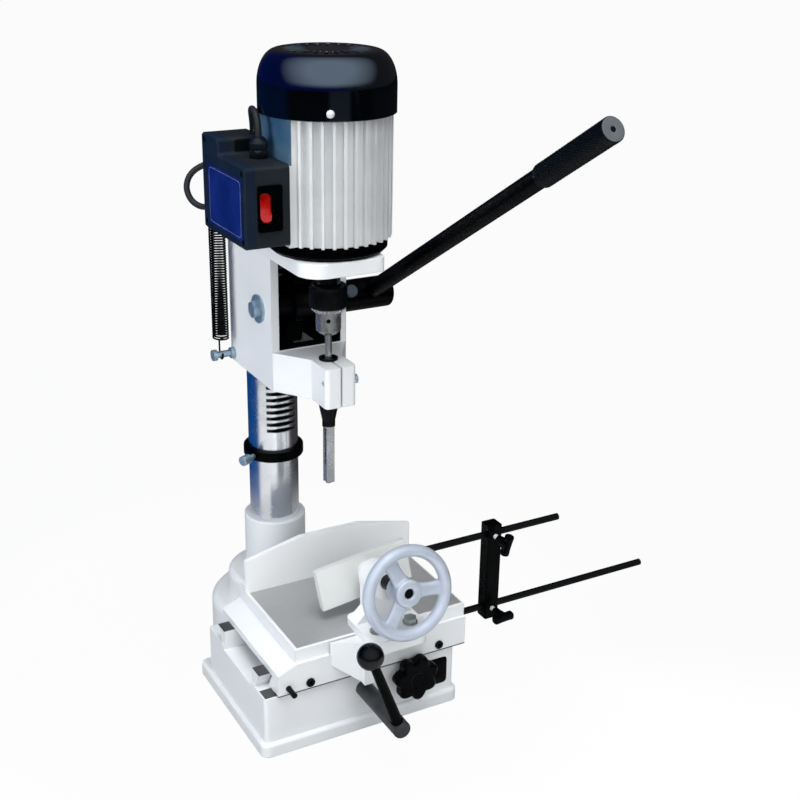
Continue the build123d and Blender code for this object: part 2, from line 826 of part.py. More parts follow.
def lever_plane(distance):
    """A plane square to the lever, a distance from the pinion shaft's axis."""
    turn = math.radians(lever_angle)
    outward = Vector(0, -math.cos(turn), math.sin(turn))
    return Plane(origin=Vector(lever_x, pinion_y, pinion_z) + outward * distance, x_dir=(1, 0, 0),
                 z_dir=outward)


def lever_hub():
    start = head_right_half + housing_length + side_gap
    body = rod_x(housing_radius, start, start + hub_length, pinion_y, pinion_z)
    body = fillet(body.faces().sort_by(Axis.X)[-1].edges(), 4.0)
    body -= rod_x(pinion_shaft_radius + seat, start - 1, start + hub_length - 4.0 + seat, pinion_y,
                  pinion_z)
    socket_start = pinion_shaft_radius + 1.0
    body -= extrude(lever_plane(socket_start) * Circle(lever_radius + seat), housing_radius)
    return body


def feed_lever():
    start = pinion_shaft_radius + 1.0 + seat
    rod = extrude(lever_plane(start) * Circle(lever_radius), lever_length - grip_end_length - start)
    return rod


def lever_grip():
    start = lever_length - grip_length
    grip = extrude(lever_plane(start) * Circle(grip_radius), grip_length - grip_end_length)
    end = extrude(lever_plane(lever_length - grip_end_length) * Circle(grip_end_radius), grip_end_length)
    return grip + end - extrude(lever_plane(start - 1) * Circle(lever_radius + seat),
                                grip_length - grip_end_length + 1)


# Motor

def around_spindle(solid):
    """Carries a piece modelled on the Z axis to the spindle's axis."""
    return Pos(0, spindle_y, 0) * solid


def ring_notches(radius, depth, width, count, z0, z1):
    """Upright notches round a disc's edge."""
    cutters = Part()
    for spot in PolarLocations(radius, count):
        cutters += spot * Pos(0, 0, (z0 + z1) / 2) * Box(2 * depth, width, z1 - z0)
    return cutters


def motor_end_bell():
    body = rod_z(bell_radius, motor_bottom, shell_bottom, 0, 0)
    body = chamfer(body.faces().sort_by(Axis.Z)[0].edges(), 4.0)
    body -= ring_notches(bell_radius, 3.0, 4.0, bell_notches, motor_bottom + 6.0, shell_bottom + 1)
    body += rod_z(plate_hole_radius - seat, motor_bottom - 6.0, motor_bottom + 1, 0, 0)
    body -= rod_z(bearing_outer + seat, lower_bearing, shell_bottom + 1, 0, 0)
    body -= rod_z(motor_shaft_radius + 2.0, motor_bottom - 7.0, shell_bottom, 0, 0)
    for spot in PolarLocations(motor_bolt_circle / 2, 4, 45):
        body -= spot * Pos(0, 0, motor_bottom) * Cylinder(motor_bolt_radius + seat, 2 * motor_bolt_depth)
    return around_spindle(body)


def motor_shell():
    outline = Circle(shell_radius)
    for spot in PolarLocations((shell_radius + fin_radius) / 2 - 1, fin_count):
        outline += spot * Rectangle(fin_radius - shell_radius + 2, fin_width)
    outline += Pos(-(box_pad_x + box_pad_root) / 2, 0) * Rectangle(box_pad_x - box_pad_root,
                                                                   2 * box_pad_half)
    outline -= Pos(-box_pad_x - 10, 0) * Rectangle(20, 4 * box_pad_half)
    body = extrude(Plane.XY.offset(shell_bottom) * outline, shell_height)
    body -= rod_z(shell_bore, shell_bottom - 1, shell_top - shell_web - bearing_width + 6, 0, 0)
    body -= rod_z(bearing_outer + seat, upper_bearing - 12, shell_top + 1, 0, 0)
    skirt = cover_radius - cover_wall - seat
    rim = rod_z(cover_radius + 5, shell_top - cover_land, shell_top + 1, 0, 0)
    rim -= rod_z(min(skirt, shell_radius), shell_top - cover_land - 1, shell_top + 2, 0, 0)
    body -= rim
    body += rod_z(skirt, shell_top - cover_land, shell_top, 0, 0) - rod_z(shell_radius - 1,
                                                                          shell_top - 9, shell_top + 1,
                                                                          0, 0)
    return around_spindle(body)


def stator_core():
    body = rod_z(shell_bore - seat, stator_bottom, stator_bottom + stator_length, 0, 0)
    return around_spindle(body - rod_z(stator_bore, stator_bottom - 1, stator_bottom + stator_length + 1,
                                       0, 0))


def motor_bearings():
    rings = Part()
    for low in (lower_bearing, upper_bearing):
        ring = rod_z(bearing_outer, low, low + bearing_width, 0, 0)
        rings += ring - rod_z(motor_shaft_radius + running, low - 1, low + bearing_width + 1, 0, 0)
    return around_spindle(rings)


def motor_rotor():
    shaft = rod_z(motor_shaft_radius, chuck_top - chuck_socket, shell_top + fan_lift + fan_height, 0, 0)
    core = rod_z(stator_bore - rotor_gap, stator_bottom, stator_bottom + stator_length, 0, 0)
    return around_spindle(shaft + core)


def cooling_fan():
    low = shell_top + fan_lift
    body = rod_z(fan_radius, low, low + fan_plate, 0, 0)
    body += rod_z(motor_shaft_radius + 5.0, low, low + fan_height, 0, 0)
    blade_length = fan_radius - motor_shaft_radius - 8.0
    for spot in PolarLocations(motor_shaft_radius + 4.0 + blade_length / 2, fan_blades):
        body += spot * Pos(0, 0, low + fan_height / 2) * Box(blade_length, 3.0, fan_height)
    return around_spindle(body - rod_z(motor_shaft_radius + seat, low - 1, low + fan_height + 1, 0, 0))


def cover_form(inset, low):
    """A round body about Z with an elliptical shoulder, drawn in by an inset."""
    radius = cover_radius - inset
    top = cover_top - inset
    across = cover_round_in - inset / 2
    tall = cover_round_down - inset / 2
    shoulder = EllipticalCenterArc((radius - across, top - tall), across, tall, 0, arc_size=90)
    sides = Polyline((radius - across, top), (0, top), (0, low), (radius, low), (radius, top - tall))
    return revolve(Plane.XZ * make_face(shoulder + sides), Axis.Z)


def fan_cover():
    low = shell_top - cover_land
    shell = cover_form(0, low) - cover_form(cover_wall, low - 1)
    vent_length = vent_outer - vent_inner
    for spot in PolarLocations((vent_inner + vent_outer) / 2, cover_vents):
        shell -= spot * Pos(0, 0, cover_top) * Box(vent_length, vent_width, 4 * cover_wall)
    for plane in cover_screw_planes(cover_radius - cover_wall - 1):
        shell -= extrude(plane * Circle(cover_screw_radius + seat), cover_wall + 3)
    return around_spindle(shell)


def cover_screw_planes(distance):
    """Planes square to the three screws round the fan cover's skirt."""
    planes = []
    for third in range(3):
        turn = math.radians(-90 - cover_screw_angle + 120 * third)
        outward = Vector(math.cos(turn), math.sin(turn), 0)
        spot = outward * distance + Vector(0, 0, shell_top - cover_land + cover_screw_height)
        planes.append(Plane(origin=spot, x_dir=(0, 0, 1), z_dir=outward))
    return planes


def fan_cover_screws():
    screws = Part()
    for shank, head in zip(cover_screw_planes(cover_radius - cover_wall - 2),
                           cover_screw_planes(cover_radius)):
        screw = extrude(shank * Circle(cover_screw_radius), cover_wall + 3)
        screws += screw + extrude(head * Circle(cover_screw_head_radius), cover_screw_head)
    return around_spindle(screws)


def motor_bolts():
    bolts = Part()
    under = head_top - plate_thickness
    for spot in PolarLocations(motor_bolt_circle / 2, 4, 45):
        bolt = Pos(0, 0, under - motor_bolt_head) * hexagon(motor_bolt_across_flats, motor_bolt_head)
        bolt += rod_z(motor_bolt_radius, under - 1, head_top + motor_bolt_depth - 1, 0, 0)
        bolts += spot * bolt
    return around_spindle(bolts)


# Chuck and bit

def chuck_body():
    body = rod_z(chuck_radius, chuck_bottom + chuck_cone, chuck_top, 0, 0)
    body += Pos(0, 0, chuck_bottom + chuck_cone / 2) * Cone(chuck_nose_radius, chuck_radius, chuck_cone)
    body -= rod_z(motor_shaft_radius + seat, chuck_top - chuck_socket - seat, chuck_top + 1, 0, 0)
    body -= rod_z(bit_radius + seat, chuck_bottom - 1, chuck_bottom + bit_grip, 0, 0)
    for spot in PolarLocations(chuck_radius, 3, -115):
        hole = Pos(0, 0, sleeve_bottom - key_hole_drop) * Rot(0, 90, 0) * Cylinder(key_hole_radius, 8.0)
        body -= spot * hole
    return around_spindle(body)


def chuck_sleeve():
    body = rod_z(sleeve_radius, sleeve_bottom, sleeve_bottom + sleeve_height, 0, 0)
    body += rod_z(sleeve_rim_radius, sleeve_bottom, sleeve_bottom + sleeve_rim, 0, 0)
    body -= ring_notches(sleeve_rim_radius - 2.0, 4.0, 2.6, sleeve_teeth, sleeve_bottom - 1,
                         sleeve_bottom + 2.0)
    return around_spindle(body - rod_z(chuck_radius + running, sleeve_bottom - 1,
                                       sleeve_bottom + sleeve_height + 1, 0, 0))


def auger_bit():
    tip = chisel_tip - bit_below_tip
    body = rod_z(bit_radius, tip + 4.0, chuck_bottom + bit_grip - 1.0, 0, 0)
    body += Pos(0, 0, tip + 2.0) * Cone(1.0, bit_radius, 4.0)
    return around_spindle(body)


# Control box and lead

def control_outline(inset):
    """The (y, z) outline of the control box, drawn in by an inset."""
    return [(control_front + inset, control_bottom + inset),
            (control_rear - inset, control_bottom + inset),
            (control_rear - inset, tower_top - inset), (tower_front + inset, tower_top - inset),
            (tower_front + inset, control_top - inset), (control_front + inset, control_top - inset)]


def rounded_along_x(solid):
    """Rounds the edges of a solid that run along X."""
    return fillet(solid.edges().filter_by(Axis.X), control_round)


def gland_seats():
    """The two places where the lead leaves the box: on the front part's top and on the rear wall."""
    top = Plane(origin=(gland_x, gland_y, control_top), x_dir=(1, 0, 0), z_dir=(0, 0, 1))
    rear = Plane(origin=(rear_gland_x, control_rear, rear_gland_z), x_dir=(1, 0, 0), z_dir=(0, 1, 0))
    return ((top, gland_height), (rear, rear_gland_height))


def control_box():
    body = rounded_along_x(prism_x(control_outline(0), control_split, control_inside))
    body -= prism_x(control_outline(control_wall), control_split - 1, control_inside - control_wall)
    half = bezel_width / 2 - bezel_lap
    tall = bezel_height / 2 - bezel_lap
    body -= block(bezel_x - half, bezel_x + half, control_front - 1, control_front + control_wall + 1,
                  bezel_z - tall, bezel_z + tall)
    for plane, _ in gland_seats():
        body -= extrude(plane.offset(-control_wall - 2) * Circle(gland_radius - 2.0), control_wall + 4)
    for y, z in cover_screw_spots():
        post = rod_x(control_screw_radius + 2.5, control_split, control_inside, y, z)
        body += post
        body -= rod_x(control_screw_radius - 1.0 + seat, control_split - 1,
                      control_split + control_screw_length, y, z)
    return body


def cover_screw_spots():
    """(y, z) of the four cover screws."""
    near = control_front + cover_screw_inset
    far = control_rear - cover_screw_inset
    low = control_bottom + cover_screw_inset
    return [(near, low), (near, control_top - cover_screw_inset), (far, low),
            (far, tower_top - cover_screw_inset)]


def box_cover():
    body = rounded_along_x(prism_x(control_outline(0), control_outside, control_split))
    body = chamfer(body.faces().sort_by(Axis.X)[0].edges(), 1.5)
    for y, z in cover_screw_spots():
        body -= rod_x(control_screw_radius + 0.6, control_outside - 1,
                      control_outside + control_screw_sink + 2.0, y, z)
        body -= rod_x(control_screw_radius - 1.0 + seat, control_outside, control_split + 1, y, z)
    return body


def box_cover_screws():
    screws = Part()
    head_seat = control_outside + control_screw_sink + 2.0
    for y, z in cover_screw_spots():
        head = rod_x(control_screw_radius, control_outside + control_screw_sink, head_seat, y, z)
        shank = rod_x(control_screw_radius - 1.0, head_seat - 0.5,
                      control_split + control_screw_length - 2.0, y, z)
        screws += head + shank
    return screws


def blank_plate():
    body = block(control_outside - label_sheet, control_outside, label_front, label_rear, label_bottom,
                 label_top)
    return fillet(body.edges().filter_by(Axis.X), 2.0)


def switch_bezel():
    low = bezel_z - bezel_height / 2
    body = block(bezel_x - bezel_width / 2, bezel_x + bezel_width / 2, control_front - bezel_thickness,
                 control_front,
                 low, low + bezel_height)
    body = fillet(body.edges().filter_by(Axis.Y), 3.0)
    half = bezel_width / 2 - bezel_lap - seat
    tall = bezel_height / 2 - bezel_lap - seat
    body += block(bezel_x - half, bezel_x + half, control_front - 0.5, control_front + bezel_depth,
                  bezel_z - tall, bezel_z + tall)
    middle = bezel_x + rocker_offset
    slot = rocker_width / 2 + side_gap
    pocket = rocker_height / 2 + 1.5
    body -= block(middle - slot, middle + slot, control_front - bezel_thickness - 1,
                  control_front + bezel_depth - 3.0,
                  bezel_z - pocket, bezel_z + pocket)
    return body


def switch_rocker():
    middle = bezel_x + rocker_offset
    pivot_y = control_front + rocker_sink
    half = rocker_height / 2
    crown = bezel_thickness + rocker_sink
    left = (pivot_y - crown, bezel_z + half)
    right = (pivot_y - crown, bezel_z - half)
    outline = make_face(Polyline(left, (pivot_y, bezel_z + half * 0.7), (pivot_y, bezel_z - half * 0.7),
                                 right)
                        + ThreePointArc(right, (pivot_y - crown + 2.2, bezel_z), left))
    body = extrude(Plane.YZ.offset(middle - rocker_width / 2) * outline, rocker_width)
    body += rod_x(rocker_pivot_radius, middle - rocker_width / 2, middle + rocker_width / 2, pivot_y, bezel_z)
    pivot = Axis((middle, pivot_y, bezel_z), (1, 0, 0))
    return body.rotate(pivot, -rocker_tilt)


def cable_glands():
    glands = Part()
    for plane, height in gland_seats():
        nut = extrude(plane * RegularPolygon(gland_radius, 6), gland_nut * height / gland_height)
        dome = extrude(plane * Circle(gland_radius - 1.5), height)
        dome = fillet(dome.edges().filter_by(GeomType.CIRCLE).sort_by_distance(plane.origin)[-1], 2.0)
        neck = extrude(plane.offset(-control_wall - 3.0) * Circle(gland_radius - 2.0 - seat),
                       control_wall + 3.5)
        bore = extrude(plane.offset(-control_wall - 4.0) * Circle(lead_radius + seat),
                       height + control_wall + 5.0)
        glands += nut + dome + neck - bore
    return glands


def lead_radii():
    """The largest tangent radius that each corner of the lead's route takes."""
    radii = []
    for before, corner, after in zip(lead_points, lead_points[1:], lead_points[2:]):
        run_in = Vector(*corner) - Vector(*before)
        run_out = Vector(*after) - Vector(*corner)
        turn = math.radians(run_in.get_angle(run_out))
        radii.append(0.45 * min(run_in.length, run_out.length) / math.tan(turn / 2))
    return radii


def motor_lead():
    radii = lead_radii()
    path = FilletPolyline(*lead_points, radius=radii)
    start = Plane(origin=path @ 0, z_dir=path % 0)
    tube = sweep(start * Circle(lead_radius), path)
    print("lead radii", [round(radius, 1) for radius in radii])
    swept = math.pi * lead_radius ** 2 * path.length
    print("lead volume over section times length", round(tube.volume / swept, 4))
    return tube


# Return spring

def biarc(start, start_way, end, end_way):
    """Two arcs that join two points and keep both directions."""
    start_way = start_way.normalized()
    end_way = end_way.normalized()
    reach = end - start
    both = start_way + end_way
    bend = 2 * (1 - start_way.dot(end_way))
    part = reach.dot(both)
    run = (-part + math.sqrt(part * part + bend * reach.dot(reach))) / bend
    first = start + start_way * run
    second = end - end_way * run
    middle = (first + second) * 0.5
    middle_way = second - first
    return [TangentArc(start, middle, tangent=start_way), TangentArc(middle, end, tangent=middle_way)]


def spring_point(turns):
    """A point of the coil after some turns from its top, on the side towards the head at a whole turn."""
    angle = 2 * math.pi * turns
    drop = (spring_coil_top - spring_coil_bottom) * turns / spring_turns
    return Vector(spring_x + spring_coil_radius * math.cos(angle),
                  column_y + spring_coil_radius * math.sin(angle),
                  spring_coil_top - drop)


def spring_way(turns):
    """The coil's direction after some turns."""
    angle = 2 * math.pi * turns
    slope = (spring_coil_top - spring_coil_bottom) / (spring_turns * 2 * math.pi * spring_coil_radius)
    return Vector(-math.sin(angle), math.cos(angle), -slope)


def hook_point(centre_z, degrees):
    """A point of a hook round a stud, in the plane of the coil's inner side."""
    angle = math.radians(degrees)
    return Vector(spring_x + spring_coil_radius, column_y + hook_radius * math.cos(angle),
                  centre_z + hook_radius * math.sin(angle))


def spring_self_gap():
    """Least gap between the coil's wire and itself, measured on points a whole turn or more apart."""
    steps = 24
    points = [spring_point(index / steps) for index in range(spring_turns * steps + 1)]
    least = min((points[index] - points[index + shift]).length
                for index in range(0, len(points) - steps - 3, 7) for shift in (steps - 2, steps - 1,
                                                                                steps, steps + 1))
    return least - 2 * spring_wire_radius


def return_spring():
    down = Vector(0, 0, -1)
    upper_end = hook_point(bracket_z, 180)
    upper_run = Vector(upper_end.X, upper_end.Y, spring_coil_top + hook_radius)
    lower_start = hook_point(stud_z, 0)
    lower_run = Vector(lower_start.X, lower_start.Y, spring_coil_bottom - hook_radius)
    edges = [ThreePointArc(hook_point(bracket_z, -30), hook_point(bracket_z, 75), upper_end),
             Line(upper_end, upper_run)]
    edges += biarc(upper_run, down, spring_point(0), spring_way(0))
    for half_turn in range(2 * spring_turns):
        start = half_turn / 2
        edges += biarc(spring_point(start), spring_way(start), spring_point(start + 0.5),
                       spring_way(start + 0.5))
    edges += biarc(spring_point(spring_turns), spring_way(spring_turns), lower_run, down)
    edges += [Line(lower_run, lower_start), ThreePointArc(lower_start, hook_point(stud_z, -105),
                                                          hook_point(stud_z, -210))]
    path = Wire([edge.edge() for edge in edges])
    section = Plane(origin=path @ 0, z_dir=path % 0) * Circle(spring_wire_radius)
    coil = sweep(section, path)
    print("spring gap to itself", round(spring_self_gap(), 2))
    print("spring volume over section times length",
          round(coil.volume / (math.pi * spring_wire_radius ** 2 * path.length), 4))
    return coil


def spring_stud():
    face = -head_half_width
    body = rod_x(stud_radius, face - stud_length, face + stud_thread - 1.0, column_y, stud_z)
    body += rod_x(stud_collar_radius, face - stud_collar, face, column_y, stud_z)
    return body + rod_x(stud_collar_radius, face - stud_length, face - stud_length + stud_collar,
                        column_y, stud_z)


# Table

def table_casting():
    saddle = prism_y([(saddle_left, apron_bottom), (table_right, apron_bottom), (table_right, saddle_top),
                      (plate_left, saddle_top), (saddle_left, saddle_left_top)], apron_front, table_rear)
    plate = block(plate_left, table_right, table_front, table_rear, saddle_top - 1, table_top)
    lug = block(vise_x - lug_half_width, vise_x + lug_half_width, lug_front, table_front + 1, saddle_top,
                table_top)
    lug = fillet(upright_edges(lug).group_by(Axis.Y)[0], 8.0)
    leg_left = vise_x - lug_half_width - 3.0
    leg = prism_z([(leg_left - leg_spread, apron_front + 1), (leg_left, lug_front + 10.0),
                   (leg_left, lug_front + 2.0),
                   (leg_left + leg_width, lug_front + 2.0), (leg_left + leg_width, apron_front + 1)],
                  leg_bottom, table_top)
    leg -= prism_y([(leg_left - leg_spread - 1, leg_bottom - 1),
                    (leg_left - leg_spread - 1, saddle_top - 12.0),
                    (leg_left + 2.0, leg_bottom - 1)], lug_front, apron_front + 2)
    leg -= block(leg_left - leg_spread - 1, leg_left + leg_width + 1, lug_front, apron_front - side_gap,
                 0, leg_bottom)
    body = saddle + plate + lug + leg
    top = way_top + side_gap
    bottom = apron_bottom - 1
    body -= prism_x([(gib_front(bottom) - gib_run, bottom), (rear_flank(bottom) + 2 * running, bottom),
                     (rear_flank(top) + 2 * running, top), (gib_front(top) - gib_run, top)],
                    saddle_left - 1, table_right + 1)
    for x in gib_screw_x:
        body -= rod_y(gib_screw_radius + seat, apron_front - 1, front_way_y, x, gib_screw_z)
    body -= rod_y(lock_stud_radius + seat, apron_front - 1, front_way_y, lock_stud_x, gib_screw_z)
    body -= rod_x(stop_rod_radius + seat, table_right - guide_depth, table_right + 1, stop_y, guide_z)
    for x, y in fence_bolt_spots():
        body -= rod_z(fence_bolt_radius + seat, table_top - fence_bolt_depth, table_top + 1, x, y)
    for x in vise_bolt_x():
        body -= rod_z(vise_bolt_radius + seat, table_top - vise_bolt_depth, table_top + 1, x, vise_bolt_y)
    return body


def gib_front(z):
    """The y of the front way's slope at a height, which the gib slides on."""
    return front_way_y + (way_top - z) / math.tan(math.radians(dovetail_angle))


def rear_flank(z):
    """The y of the rear way's slope at a height."""
    return rear_way_y - (way_top - z) / math.tan(math.radians(dovetail_angle))


def gib_strip():
    low = apron_bottom + 0.5
    high = way_top - 0.5
    return prism_x([(gib_front(low) - gib_run + running, low), (gib_front(low) - running, low),
                    (gib_front(high) - running, high), (gib_front(high) - gib_run + running, high)],
                   saddle_left + 2.0, table_right - 2.0)


def gib_end(radius):
    """Where a screw of a radius through the apron meets the gib."""
    return gib_front(gib_screw_z + radius) - gib_run - running


def gib_screws():
    screws = Part()
    for x in gib_screw_x:
        screw = rod_y(gib_screw_radius, apron_front - gib_screw_reach, gib_end(gib_screw_radius), x,
                      gib_screw_z)
        screws += screw - rod_y(gib_socket_radius, apron_front - gib_screw_reach,
                                apron_front - gib_screw_reach + gib_socket_depth, x, gib_screw_z)
    return screws


def lock_stud():
    stud = rod_y(lock_stud_radius, apron_front - lock_stud_reach, gib_end(lock_stud_radius), lock_stud_x,
                 gib_screw_z)
    return chamfer(stud.faces().sort_by(Axis.Y)[0].edges(), 1.0)


def table_rack():
    pitch = math.pi * drive_module
    pitch_z = crank_z + drive_radius
    bar = block(rack_mid_x - rack_half_length, rack_mid_x + rack_half_length, drive_y - rack_width / 2,
                drive_y + rack_width / 2, pitch_z - drive_module, way_top + side_gap)
    outline = [(crank_x + along, pitch_z + into) for along,
               into in rack_groove(drive_module, drive_module + 1)]
    cutter = prism_y(outline, drive_y - rack_width, drive_y + rack_width)
    first = math.ceil((rack_mid_x - rack_half_length - crank_x) / pitch)
    last = math.floor((rack_mid_x + rack_half_length - crank_x) / pitch)
    for index in range(first, last + 1):
        bar -= Pos(index * pitch, 0, 0) * cutter
    return bar


def fence_bolt_spots():
    """(x, y) of the bolts through the fence's foot."""
    middle = (fence_left + fence_right) / 2
    y = (fence_face + fence_thickness + table_rear) / 2
    return [(middle - fence_bolt_spacing / 2, y), (middle + fence_bolt_spacing / 2, y)]


def fence():
    low = table_top
    board = prism_y([(fence_left, low), (fence_right, low), (fence_right, low + fence_end_height),
                     (fence_right - fence_rise, low + fence_height),
                     (fence_left + fence_rise, low + fence_height),
                     (fence_left, low + fence_end_height)], fence_face, fence_face + fence_thickness)
    foot = block(plate_left + 4.0, fence_right - fence_foot_short, fence_face + fence_thickness - 1,
                 table_rear, low, low + fence_foot)
    body = board + foot
    for x, y in fence_bolt_spots():
        body -= rod_z(fence_bolt_radius + seat, low - 1, low + fence_foot + 1, x, y)
    return body


def fence_bolts():
    bolts = Part()
    for x, y in fence_bolt_spots():
        top = table_top + fence_foot
        bolt = rod_z(fence_bolt_radius, table_top - fence_bolt_depth + 1.0, top + 1, x, y)
        bolts += bolt + Pos(x, y, top) * hexagon(fence_bolt_across_flats, fence_bolt_head)
    return bolts


# Vise

def vise_bolt_x():
    """The x of the two bolts through the vise's foot."""
    return [vise_x - vise_bolt_spacing / 2, vise_x + vise_bolt_spacing / 2]


def vise_body():
    foot_half = lug_half_width - 1.0
    foot_top = table_top + vise_foot_height
    foot = block(vise_x - foot_half, vise_x + foot_half, vise_foot_front, vise_foot_rear, table_top, foot_top)
    foot = fillet(upright_edges(foot), 10.0)
    boss_mid = vise_boss_from_wheel
    boss = screw_rod(vise_boss_radius, boss_mid - vise_boss_front, boss_mid + vise_boss_rear)
    middle = wheel_centre + screw_axis * boss_mid
    neck_front = middle.Y - vise_boss_front
    neck_rear = vise_foot_rear - 2.5
    neck = block(vise_x - vise_neck_half, vise_x + vise_neck_half, neck_front, neck_rear, table_top + 1,
                 middle.Z)
    neck = fillet(upright_edges(neck), vise_neck_corner)
    flare_half = foot_half - 2.0
    flare_top = foot_top + flare_half - vise_neck_half
    flare = prism_y([(vise_x - flare_half, foot_top - 1), (vise_x + flare_half, foot_top - 1),
                     (vise_x + flare_half, foot_top), (vise_x + vise_neck_half - 1, flare_top + 1),
                     (vise_x - vise_neck_half + 1, flare_top + 1), (vise_x - flare_half, foot_top)],
                    neck_front + vise_neck_corner, neck_rear - vise_neck_corner)
    body = foot + neck + flare + boss
    body -= screw_rod(vise_screw_radius + running, 0, jaw_from_wheel)
    for x in vise_bolt_x():
        body -= rod_z(vise_bolt_radius + seat, table_top - 1, foot_top + 1, x, vise_bolt_y)
        body -= rod_z(vise_bolt_washer_radius + 1.0, foot_top, wheel_z + wheel_radius, x, vise_bolt_y)
    return body


def vise_bolts():
    bolts = Part()
    top = table_top + vise_foot_height
    for x in vise_bolt_x():
        bolt = rod_z(vise_bolt_radius, table_top - vise_bolt_depth + 1.0, top + 2, x, vise_bolt_y)
        bolt += rod_z(vise_bolt_washer_radius, top, top + vise_bolt_washer, x, vise_bolt_y)
        bolts += bolt + Pos(x, vise_bolt_y, top + vise_bolt_washer) * hexagon(vise_bolt_across_flats,
                                                                              vise_bolt_head)
    return bolts


def vise_jaw():
    face = along_screw(jaw_from_wheel) * Rot(0, 0, -jaw_roll) * Pos(jaw_offset, jaw_drop)
    board = extrude(face * Rectangle(2 * jaw_half_width, jaw_height), jaw_thickness)
    lower = (face * Pos(0, jaw_height / 2, jaw_thickness)).position
    board = chamfer(board.edges().sort_by_distance(lower)[0], jaw_relief)
    body = board + screw_rod(jaw_boss_radius, jaw_from_wheel - jaw_boss, jaw_from_wheel + 1)
    return body - screw_rod(vise_screw_end_radius + running, jaw_from_wheel - jaw_boss - 1,
                            jaw_from_wheel - jaw_boss + jaw_socket)


def vise_screw():
    shoulder = jaw_from_wheel - jaw_boss - side_gap
    hub_rear = wheel_hub_length - wheel_hub_front
    body = screw_rod(vise_screw_radius, hub_rear + side_gap, shoulder)
    body += screw_rod(vise_screw_end_radius, -wheel_hub_front - 0.5, hub_rear + 1)
    return body + screw_rod(vise_screw_end_radius, shoulder - 1, shoulder + jaw_socket - 1.0)


def handwheel():
    plane = along_screw(0)
    ring_radius = wheel_radius - rim_radius
    hub_middle = wheel_hub_length / 2 - wheel_hub_front
    body = plane * Torus(ring_radius, rim_radius)
    hub = plane * Pos(0, 0, hub_middle) * Cylinder(wheel_hub_radius, wheel_hub_length)
    body += chamfer(hub.edges().filter_by(GeomType.CIRCLE), 1.2)
    spoke = Pos(ring_radius / 2, 0, spoke_back) * Box(ring_radius, spoke_width, spoke_thickness)
    for index in range(spoke_count):
        body += plane * Rot(0, 0, spoke_turn + index * 360 / spoke_count) * spoke
    return body - screw_rod(vise_screw_end_radius + seat, -wheel_hub_length, wheel_hub_length)


# Table drive and lock

def crank_shaft():
    front = rod_y(crank_shaft_radius, crank_front, box_front - side_gap, crank_x, crank_z)
    front = fillet(front.faces().sort_by(Axis.Y)[0].edges(), 2.5)
    journal = rod_y(crank_journal_radius, box_front - 1, crank_web_y + crank_web / 2, crank_x, crank_z)
    points = []
    for index in range(drive_teeth):
        points += tooth(drive_module, drive_teeth, math.pi / 2 + index * 2 * math.pi / drive_teeth)
    pinion = prism_y([(crank_x + across, crank_z + up) for across, up in points],
                     drive_y - drive_width / 2,
                     drive_y + drive_width / 2)
    body = front + journal + pinion
    body -= extrude(crank_way(crank_shaft_radius - crank_flat) * Rectangle(2 * crank_flat_half,
                                                                           2 * crank_shaft_radius), 5.0)
    return body - extrude(crank_way(-1.0) * Circle(crank_arm_root - 1.5 + seat), crank_shaft_radius + 5)


def crank_way(distance):
    """A plane square to the crank arm, a distance from the shaft's axis."""
    lean = math.radians(crank_lean)
    outward = Vector(-math.sin(lean), 0, math.cos(lean))
    return Plane(origin=Vector(crank_x, crank_plane, crank_z) + outward * distance, x_dir=(0, 1, 0),
                 z_dir=outward)


def crank_arm():
    root = extrude(crank_way(0) * Circle(crank_arm_root - 1.5), crank_shaft_radius + 1)
    start = crank_shaft_radius - crank_flat + seat
    rod = loft([crank_way(start) * Circle(crank_arm_root),
                crank_way(crank_length) * Circle(crank_arm_tip)])
    return root + rod


def crank_ball():
    ball = crank_way(crank_length) * Sphere(crank_ball_radius)
    return ball - extrude(crank_way(crank_length - 2 * crank_ball_radius) * Circle(crank_arm_root),
                          crank_ball_radius) - loft(
        [crank_way(crank_length - crank_ball_radius - 1) * Circle(crank_arm_root),
         crank_way(crank_length + seat) * Circle(crank_arm_tip + seat)])


def star_knob():
    body = rod_y(knob_radius, knob_front, knob_front + knob_thickness, knob_x, knob_z)
    for spot in PolarLocations(knob_radius, knob_lobes, knob_turn):
        place = spot.position
        lobe = rod_y(knob_lobe_radius, knob_front, knob_front + knob_thickness, knob_x + place.X,
                     knob_z + place.Y)
        body += lobe
    body += rod_y(knob_hub_radius, knob_front + knob_thickness - 1, box_front - side_gap, knob_x, knob_z)
    return body + rod_y(knob_stud_radius, knob_front + knob_thickness, knob_stud_end, knob_x, knob_z)


# Work stop

def stop_guide_rod():
    return rod_x(stop_rod_radius, table_right - guide_depth + 1.0, guide_end, stop_y, guide_z)


def stop_rod():
    return rod_x(stop_rod_radius, stop_left, stop_left + stop_length, stop_y, stop_z)


def stop_bar():
    half = bar_side / 2
    body = block(bar_x - half, bar_x + half, stop_y - half, stop_y + half, guide_z - bar_overlap,
                 stop_z + bar_overlap)
    body = fillet(upright_edges(body), 2.0)
    for z in (guide_z, stop_z):
        body -= rod_x(stop_rod_radius + running, bar_x - bar_side, bar_x + bar_side, stop_y, z)
        body -= rod_y(wing_screw_radius + running, stop_y - bar_side, stop_y, bar_x, z)
    return body


